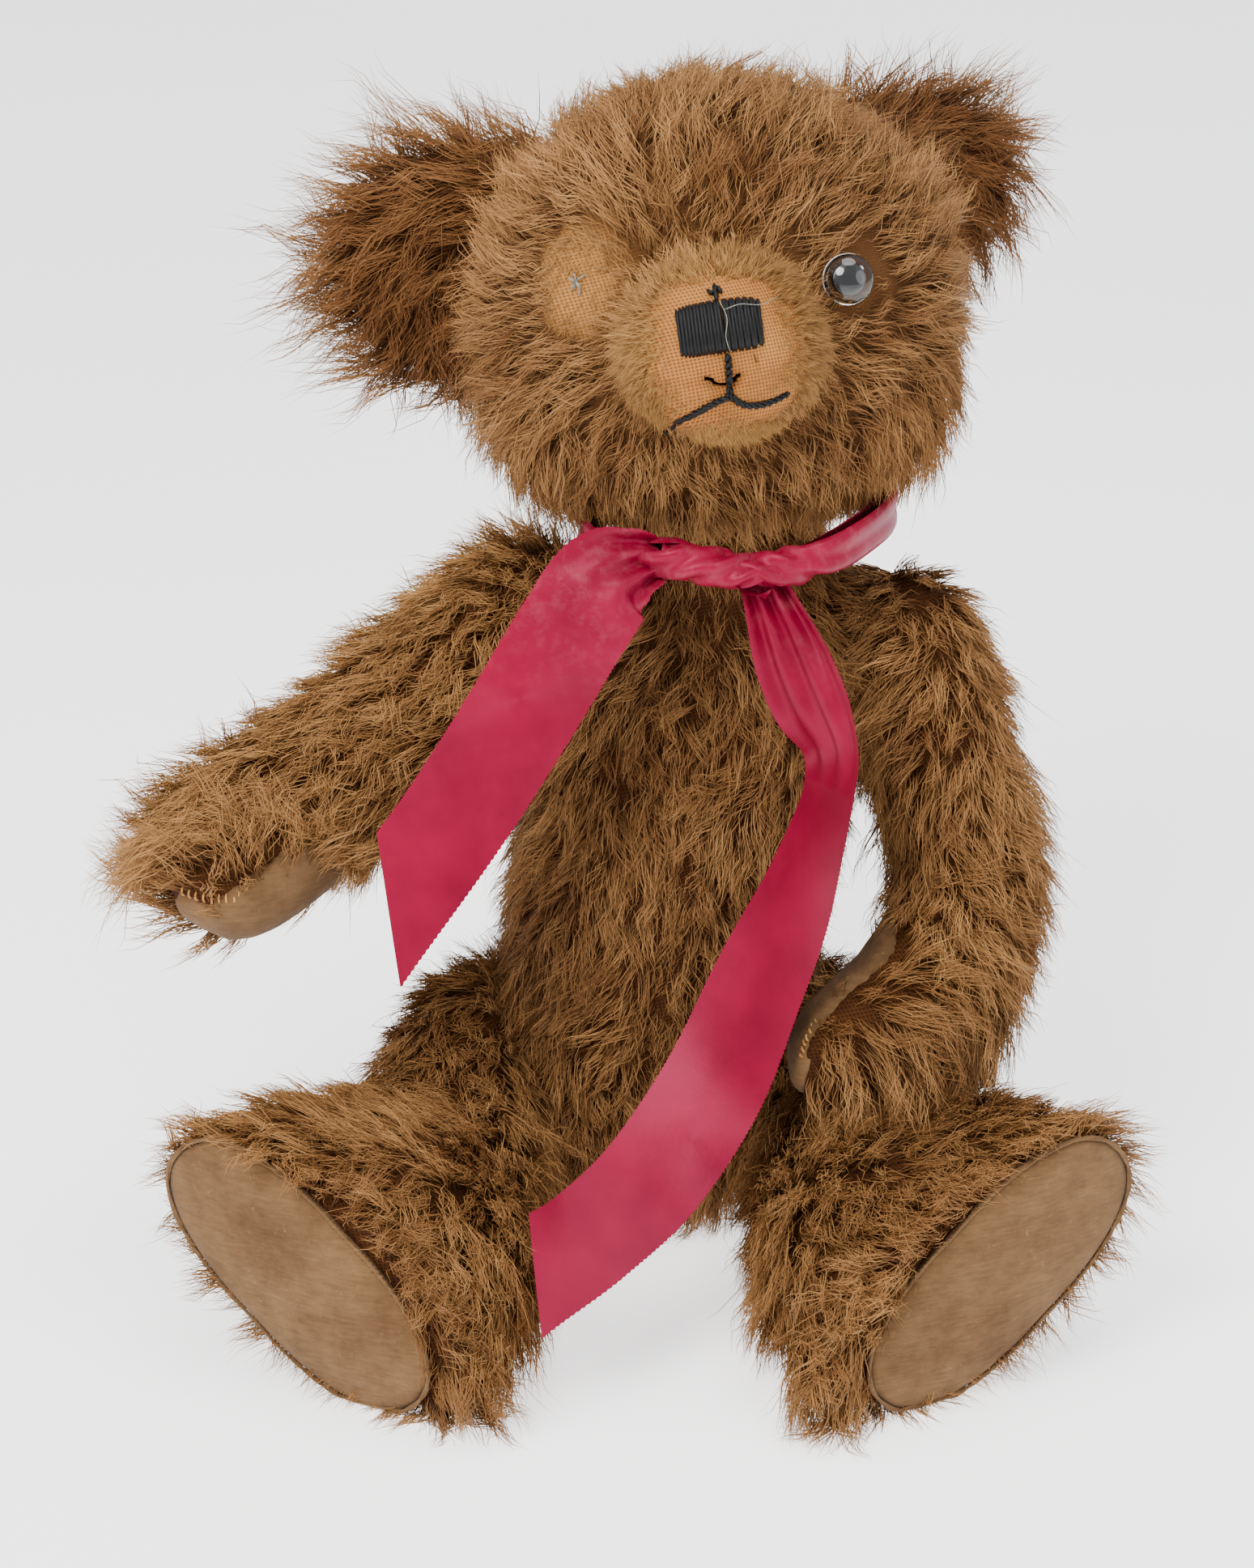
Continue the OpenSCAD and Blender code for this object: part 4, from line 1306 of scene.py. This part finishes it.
SEAM_RADIUS = 0.7 * MM


def above_floor(spot):
    return np.array([spot[0], spot[1], max(spot[2], FLOOR_CLEARANCE)])


def sole(side):
    """A foot pad with a slight crown, faint dents, and a turned edge with its seam."""
    node = f"{side}_foot_pad"
    middle, axes, bins, reach = outline_of(node, SOLE_SIDES)
    normal = axes[2] if axes[2][1] < 0 else -axes[2]
    top = ((coordinates(nodes[node].data) - middle) @ normal).max()
    dents = Waves(np.random.default_rng(60 + SIDES[side]), 0.022)
    spokes = np.cos(bins)[:, None] * axes[0] + np.sin(bins)[:, None] * axes[1]
    verts = [middle + normal * (top + SOLE_CROWN)]
    for k in range(1, SOLE_RINGS + 1):
        r = k / SOLE_RINGS
        places = middle + spokes * (reach * r)[:, None]
        height = top + SOLE_CROWN * (1 - r**2.5) - SOLE_EDGE * r**14
        height = height + 0.35 * MM * dents.at(places) * (1 - r**6)
        verts.extend(places + normal * height[:, None])
    back = middle + spokes * (reach * 0.985)[:, None] + normal * (top - 2 * SOLE_EDGE)
    verts.extend(back)
    faces = [(0, 1 + j, 1 + (j + 1) % SOLE_SIDES) for j in range(SOLE_SIDES)]
    for k in range(SOLE_RINGS):
        low = 1 + k * SOLE_SIDES
        for j in range(SOLE_SIDES):
            nxt = (j + 1) % SOLE_SIDES
            faces.append((low + j, low + SOLE_SIDES + j, low + SOLE_SIDES + nxt, low + nxt))
    last = 1 + SOLE_RINGS * SOLE_SIDES
    faces.append(tuple(last + j for j in range(SOLE_SIDES)))
    mesh = mesh_from(f"{side}_sole", [above_floor(v) for v in verts], faces)
    bm = bmesh.new()
    bm.from_mesh(mesh)
    bmesh.ops.recalc_face_normals(bm, faces=bm.faces)
    bm.to_mesh(mesh)
    bm.free()
    piece = sewn(f"{side}_sole", mesh, None, f"{side}_leg", "velveteen", node)
    edge = middle + spokes * (reach * 1.0)[:, None] + normal * (top - 0.4 * SOLE_EDGE)
    edge = np.vstack([edge, edge[:2]])
    edge[:, 2] = np.maximum(edge[:, 2], SEAM_RADIUS + FLOOR_CLEARANCE)
    lip = add_object(f"{side}_sole_seam", tubes(f"{side}_sole_seam", plied(edge, 2, 0.25 * MM, 2.4 * MM), 0.42 * MM))
    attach(lip, f"{side}_leg")
    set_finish(lip, "velveteen")


LEFT_PAW = np.array([66.0, -48.0, 72.0]) * MM
LEFT_PAW_REACH = 46 * MM
LEFT_PAW_WIDER = np.array([-13.0, -5.0, 0.0]) * MM


def widened(points):
    """The left paw is stuffed fuller than its pattern, on its inner side."""
    near = 1 - smooth_step(0.45 * LEFT_PAW_REACH, LEFT_PAW_REACH, np.linalg.norm(points - LEFT_PAW, axis=1))
    inner = np.clip((LEFT_PAW[0] + 0.012 - points[:, 0]) / 0.022, 0, 1)
    return points + (near * inner)[:, None] * LEFT_PAW_WIDER


def paw_stitches(side, arm):
    """Hand stitches over the edge of a paw's pad, every few millimetres."""
    surface = Surface(arm)
    middle, axes, bins, reach = outline_of(f"{side}_paw_pad", 90)
    paths = []
    outward = axes[2] if axes[2] @ (middle - box_middle(f"{side}_arm_skin")) > 0 else -axes[2]
    if side == "right":
        low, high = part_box("right_paw_pad")
        spots = [surface.along(np.array([x, -0.2, PAW_SEAM_HEIGHT]), (0, 1, 0))
                 for x in np.arange(low[0] + 0.003, high[0] - 0.002, STITCH_STEP)]
        ways = [UP] * len(spots)
    else:
        spokes = np.cos(bins)[:, None] * axes[0] + np.sin(bins)[:, None] * axes[1]
        ring = widened(middle + spokes * (reach * 0.97)[:, None])
        spots = [surface.nearest(p)[0] for p in ring]
        ways = list(spokes)
    for spot, way in zip(spots, ways):
        steps = []
        for t in np.linspace(-1, 1, 7):
            on, normal = surface.nearest(spot + way * t * STITCH_LENGTH / 2)
            steps.append(on + normal * MM * (0.3 + 0.7 * math.cos(t * math.pi / 2)))
        paths.append(np.array(steps))
    piece = add_object(f"{side}_paw_stitches", tubes(f"{side}_paw_stitches", paths, 0.28 * MM, 5), HAND_STITCH)
    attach(piece, f"{side}_arm")
    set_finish(piece, "brown_thread")


STITCH_STEP = 1.7 * MM
STITCH_LENGTH = 2.6 * MM
HAND_STITCH = plain_material("hand_stitch", (0.38, 0.16, 0.04), (0.55, 0.28, 0.09), 700.0, 0.8, specular=0.1)


def paw_pad(side):
    piece = remeshed(f"{side}_paw_cloth", [f"{side}_paw_pad"], 1.3 * MM)
    set_coordinates(piece.data, coordinates(piece.data) + 0.25 * MM * vertex_normals(piece.data))
    subdivide(piece)
    if side == "left":
        set_coordinates(piece.data, widened(coordinates(piece.data)))
    piece.data.materials.clear()
    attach(piece, f"{side}_arm")
    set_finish(piece, "velveteen")
    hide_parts(f"{side}_paw_pad")
    return piece


ARM_TONE = {"right": 0.24, "left": 0.1}
PAD_CLEARANCE = 1.6 * MM
LEG_FULLER = 14 * MM
LEG_HALF_WIDTH = 13 * MM


def fill_out_leg(piece, side, start, far, along):
    """The legs are stuffed fuller than their pattern on their inner sides, more so towards the foot."""
    square = outline_of(f"{side}_foot_pad", SOLE_SIDES)[1][2]
    inward = np.array([-SIDES[side], 0.0, 0.0])
    inward = unit(inward - square * (inward @ square))
    co = coordinates(piece.data)
    reach = (co - start) @ along / np.linalg.norm(far - start)
    inner = np.clip((co - box_middle(f"{side}_leg_skin")) @ inward / LEG_HALF_WIDTH, 0, 1)
    move = LEG_FULLER * smooth_step(0.2, 0.7, reach) * inner
    set_coordinates(piece.data, co + move[:, None] * inward)


for side_name, sign in SIDES.items():
    arm = stuffed(f"{side_name}_arm_cloth", f"{side_name}_arm", [f"{side_name}_arm_skin"],
                  [f"{side_name}_arm_stuffing", f"{side_name}_paw_pad"])
    start, far, along = limb_direction(f"{side_name}_arm_skin", f"{side_name}_shoulder")
    pad = seen_pad(side_name, surface_samples(f"{side_name}_paw_pad", 1200, 3))
    paw_pad(side_name)
    if side_name == "left":
        set_coordinates(arm.data, widened(coordinates(arm.data)))
        pad = widened(pad)
    paw_stitches(side_name, arm)
    grow_on(arm, f"{side_name}_arm_pile", f"{side_name}_arm", arm_flow(start, far, along, pad),
            limb_length(pad, 1.12, 1.4, far, PAD_CLEARANCE), [joint_plane(f"{side_name}_shoulder", True)],
            seed=30 + sign, tone_shift=ARM_TONE[side_name], reach=0.013, lift_at=stand_by_pad(pad, 0.35))
    leg = stuffed(f"{side_name}_leg_cloth", f"{side_name}_leg", [f"{side_name}_leg_skin"],
                  [f"{side_name}_leg_stuffing", f"{side_name}_foot_card"])
    start, far, along = limb_direction(f"{side_name}_leg_skin", f"{side_name}_hip")
    fill_out_leg(leg, side_name, start, far, along)
    pad = surface_samples(f"{side_name}_foot_pad", 1500, 4)
    grow_on(leg, f"{side_name}_leg_pile", f"{side_name}_leg", leg_flow(start, far, along, pad),
            leg_length(pad, np.array([-sign, 0.0, 0.0])), [joint_plane(f"{side_name}_hip", True)],
            seed=40 + sign, tone_shift=0.02, reach=0.018, lift_at=stand_by_pad(pad, 0.5))
    sole(side_name)


# ---------- ribbon ----------

RIBBON_WIDTH = 25 * MM
RIBBON_COLUMNS = 24
ROW_STEP = 0.55 * MM
PICOT = 0.3 * MM
PLEATS = 3


def ribbon_rows(steps):
    """Even rows along a ribbon. Each step is (x, y, z, then the way it faces, the share of its width that
    shows, and its shear in mm)."""
    path = np.array([s[:3] for s in steps], float)
    length = np.linalg.norm(np.diff(path, axis=0), axis=1).sum() * MM
    rows = smooth_path([[v * MM for v in s[:3]] + list(s[3:]) for s in steps], int(length / ROW_STEP))
    return rows[:, :3], unit(rows[:, 3:6]), rows[:, 6], rows[:, 7] * MM


def ribbon_mesh(name, steps, ripple, seed):
    """A ribbon laid along a path, with small pleats where less than its whole width shows."""
    centre, facing, share, shear = ribbon_rows(steps)
    run = np.concatenate([[0], np.cumsum(np.linalg.norm(np.diff(centre, axis=0), axis=1))])
    heading = unit(np.gradient(centre, axis=0))
    across = unit(np.cross(facing, heading))
    out = np.cross(heading, across)
    rng = np.random.default_rng(seed)
    phase = rng.uniform(0, 2 * math.pi, 4)
    verts = []
    for j in range(RIBBON_COLUMNS + 1):
        s = 2 * j / RIBBON_COLUMNS - 1
        sideways = s * RIBBON_WIDTH / 2 * share
        depth = np.sqrt(np.maximum(0, 2 * (1 - share**2))) * RIBBON_WIDTH / (2 * math.pi * PLEATS)
        height = depth * math.cos(math.pi * PLEATS * (s + 1)) - depth
        height = height + ripple * (np.sin(run / 0.017 + phase[0] + 1.3 * s) + 0.6 * s * np.sin(run / 0.010 + phase[1]))
        height = height + 0.35 * MM * s * s * np.sin(run / 0.023 + phase[2])
        if j in (0, RIBBON_COLUMNS):
            sideways = sideways + math.copysign(PICOT, s) * (np.arange(len(run)) % 2)
        place = centre + across * sideways[:, None] + out * height[:, None] + heading * (shear * s)[:, None]
        verts.append(place)
    verts = np.stack(verts, axis=1)
    rows, columns = verts.shape[:2]
    faces = [(r * columns + c, r * columns + c + 1, (r + 1) * columns + c + 1, (r + 1) * columns + c)
             for r in range(rows - 1) for c in range(columns - 1)]
    return mesh_from(name, verts.reshape(-1, 3), faces), run[-1]


def add_ribbon(name, steps, ripple, seed, held, rests_on, *replaced):
    mesh, length = ribbon_mesh(name, steps, ripple, seed)
    piece = add_object(name, mesh)
    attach(piece, "torso")
    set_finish(piece, "ribbon_satin")
    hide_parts(*replaced)
    return piece


RIGHT_TAIL = [
    (8, -36, 184.5, 0.1, -1, 0.3, 0.42, 0), (2, -38, 184, 0.0, -1, 0.35, 0.7, 0), (-5, -41, 181, -0.1, -1, 0.3, 0.97, 0),
    (-13, -45, 170, -0.15, -1, 0.25, 1, 0), (-25, -51, 151, -0.2, -1, 0.2, 1, 0), (-39, -57, 130, -0.15, -1, 0.3, 1, 3),
    (-55, -62, 108, 0.0, -1, 0.4, 1, 13),
]
LEFT_TAIL = [
    (31, -37, 179, 0, -1, 0.2, 0.4, 0), (34, -40, 172, -0.2, -1, 0.1, 0.55, 0), (38.5, -43, 161, -0.5, -1, 0, 0.8, 0),
    (43, -46, 151, -0.8, -1, 0.0, 0.9, 0), (47, -48, 142, -1.6, -1, 0, 0.95, 0), (47, -50, 134, -2.3, -1, 0, 1, 0),
    (45, -52, 125, -2.4, -1, 0.0, 1, 0), (39, -55, 107, -1.5, -1, 0.0, 1, 0), (30.5, -59, 88, -0.8, -1, 0.1, 1, 0),
    (20, -66, 64.5, -0.35, -1, 0.4, 1, 0), (6, -78, 47, -0.1, -1, 0.9, 1, 0), (-8, -91, 39, -0.1, -1, 1.1, 1, 3),
    (-21, -101, 34, 0.0, -1, 0.9, 1, 8),
]
add_ribbon("ribbon_right_end", RIGHT_TAIL, 0.35 * MM, 3, "hung", ["ribbon_loop"], "ribbon_right_tail")
add_ribbon("ribbon_left_end", LEFT_TAIL, 0.35 * MM, 4, "hung", ["ribbon_loop"], "ribbon_left_tail")

# The loop round the neck and the two strands that wrap round each other at the throat: x, y, z, how round
# the rolled ribbon is (0 flat against the neck, 1 a round roll), and its turn
LOOP = [
    (33, -38, 180, 1, 200), (26, -38, 182, 1, 90), (17, -38, 184, 1, -30), (8, -35, 184.5, 1, -120),
    (2, -28, 181.5, 0.6, -90), (-6, -15, 180, 0, -90), (-9, 4, 179.5, 0, -90), (-4, 24, 179, 0, -90),
    (10, 38, 180, 0, -90), (30, 41, 180, 0, -90), (48, 33, 181.5, 0, -90), (60, 14, 184, 0, -90),
    (61, -6, 186, 0, -90), (53, -22, 185, 0.3, -90), (43, -33, 183.5, 1, -60), (34, -37, 182.5, 1, 60),
    (25, -37, 182, 1, 180), (16, -35, 183.5, 1, 300), (8, -34, 184.5, 1, 400),
]
ROLL_FLAT = (5.0 * MM, 2.9 * MM)
ROLL_ROUND = 4.1 * MM
ROLL_GAP = math.radians(25)


def loop_mesh(name):
    """The ribbon rolled lengthways into a soft tube with an open seam, swept along the loop."""
    rows = smooth_path([[x * MM, y * MM, z * MM, roundness, turn] for x, y, z, roundness, turn in LOOP], 420)
    centre, roundness, turn = rows[:, :3], rows[:, 3], np.radians(rows[:, 4])
    heading = unit(np.gradient(centre, axis=0))
    side = unit(np.cross(heading, UP))
    up = np.cross(side, heading)
    angles = np.linspace(ROLL_GAP, 2 * math.pi - ROLL_GAP, RIBBON_COLUMNS + 1)
    verts = np.empty((len(rows), RIBBON_COLUMNS + 1, 3))
    for j, a in enumerate(angles):
        tall = ROLL_FLAT[0] * (1 - roundness) + ROLL_ROUND * roundness
        thick = ROLL_FLAT[1] * (1 - roundness) + ROLL_ROUND * roundness
        crease = 1 + 0.15 * np.sin(4 * a + turn) + 0.07 * np.sin(3 * a - 2 * turn)
        u, v = tall * math.cos(a) * crease, thick * math.sin(a) * crease
        spin = turn + math.radians(90)
        verts[:, j] = (centre + side * (np.sin(spin) * u + np.cos(spin) * v)[:, None]
                       + up * (np.cos(spin) * u - np.sin(spin) * v)[:, None])
    columns = RIBBON_COLUMNS + 1
    faces = [(r * columns + c, r * columns + c + 1, (r + 1) * columns + c + 1, (r + 1) * columns + c)
             for r in range(len(rows) - 1) for c in range(columns - 1)]
    length = np.linalg.norm(np.diff(centre, axis=0), axis=1).sum()
    return mesh_from(name, verts.reshape(-1, 3), faces), length


mesh, loop_length = loop_mesh("ribbon_loop")
loop = add_object("ribbon_loop", mesh)
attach(loop, "torso")
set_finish(loop, "ribbon_satin")
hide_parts("ribbon_collar", "ribbon_knot")


# ---------- the CAD nodes that stay ----------

FINISHES = {
    "hardboard": plain_material("hardboard", (0.22, 0.12, 0.06), (0.32, 0.19, 0.10), 300.0, 0.75),
    "sole_card": plain_material("sole_card", (0.38, 0.28, 0.17), (0.50, 0.38, 0.25), 250.0, 0.9),
    "steel": plain_material("steel", (0.42, 0.42, 0.43), (0.60, 0.60, 0.62), 400.0, 0.35, metallic=1.0),
    "wood_wool": plain_material("wood_wool", (0.55, 0.43, 0.26), (0.78, 0.66, 0.45), 500.0, 0.95),
    "velveteen": velveteen_material(),
    "black_thread": plain_material("black_thread", (0.0015, 0.0015, 0.0018), (0.004, 0.004, 0.0045), 900.0, 0.5, specular=0.2),
    "grey_thread": plain_material("grey_thread", (0.12, 0.12, 0.10), (0.24, 0.23, 0.20), 900.0, 0.85),
    "brown_thread": plain_material("brown_thread", (0.15, 0.09, 0.04), (0.25, 0.15, 0.07), 900.0, 0.7),
    "ribbon_satin": satin_material(),
    "eye_glass": glass_material(),
    "pupil_paint": plain_material("pupil_paint", (0.004, 0.004, 0.004), (0.01, 0.01, 0.01), 500.0, 0.12),
    "muzzle_pile": BARE_BACKING,
    "mohair": BACKING,
}
slot_of = {s["node"]: s["material_slot"] for s in frame["record"]["subparts"]}
for node_name, node in nodes.items():
    node.data.materials.clear()
    node.data.materials.append(FINISHES[slot_of[node_name]])
    node.data.polygons.foreach_set("use_smooth", [node_name.startswith("left_eye")] * len(node.data.polygons))
for piece in bpy.data.objects:
    if piece.type == "MESH" and "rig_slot" in piece and not piece.data.materials:
        piece.data.materials.append(FINISHES[piece["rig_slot"]])


# ---------- floor ----------

FLOOR_HALF = 6.0


def add_floor():
    """A pale plain table, wide enough to fill the photograph's view."""
    mat, tree, shader = new_material("floor")
    tint = ramp(tree, object_noise(tree, 3.0, 2.0), [(0.3, (0.84, 0.835, 0.83)), (0.7, (0.90, 0.89, 0.885))])
    tree.links.new(tint, shader.inputs["Base Color"])
    set_inputs(shader, Roughness=0.55)
    shader.inputs["Emission Color"].default_value = (1.0, 0.985, 0.975, 1)
    shader.inputs["Emission Strength"].default_value = 1.5
    corners = [(-FLOOR_HALF, -FLOOR_HALF, 0), (FLOOR_HALF, -FLOOR_HALF, 0),
               (FLOOR_HALF, FLOOR_HALF, 0), (-FLOOR_HALF, FLOOR_HALF, 0)]
    add_object("floor", mesh_from("floor", corners, [(0, 1, 2, 3)]), mat)


add_floor()
add_camera()
add_lights()
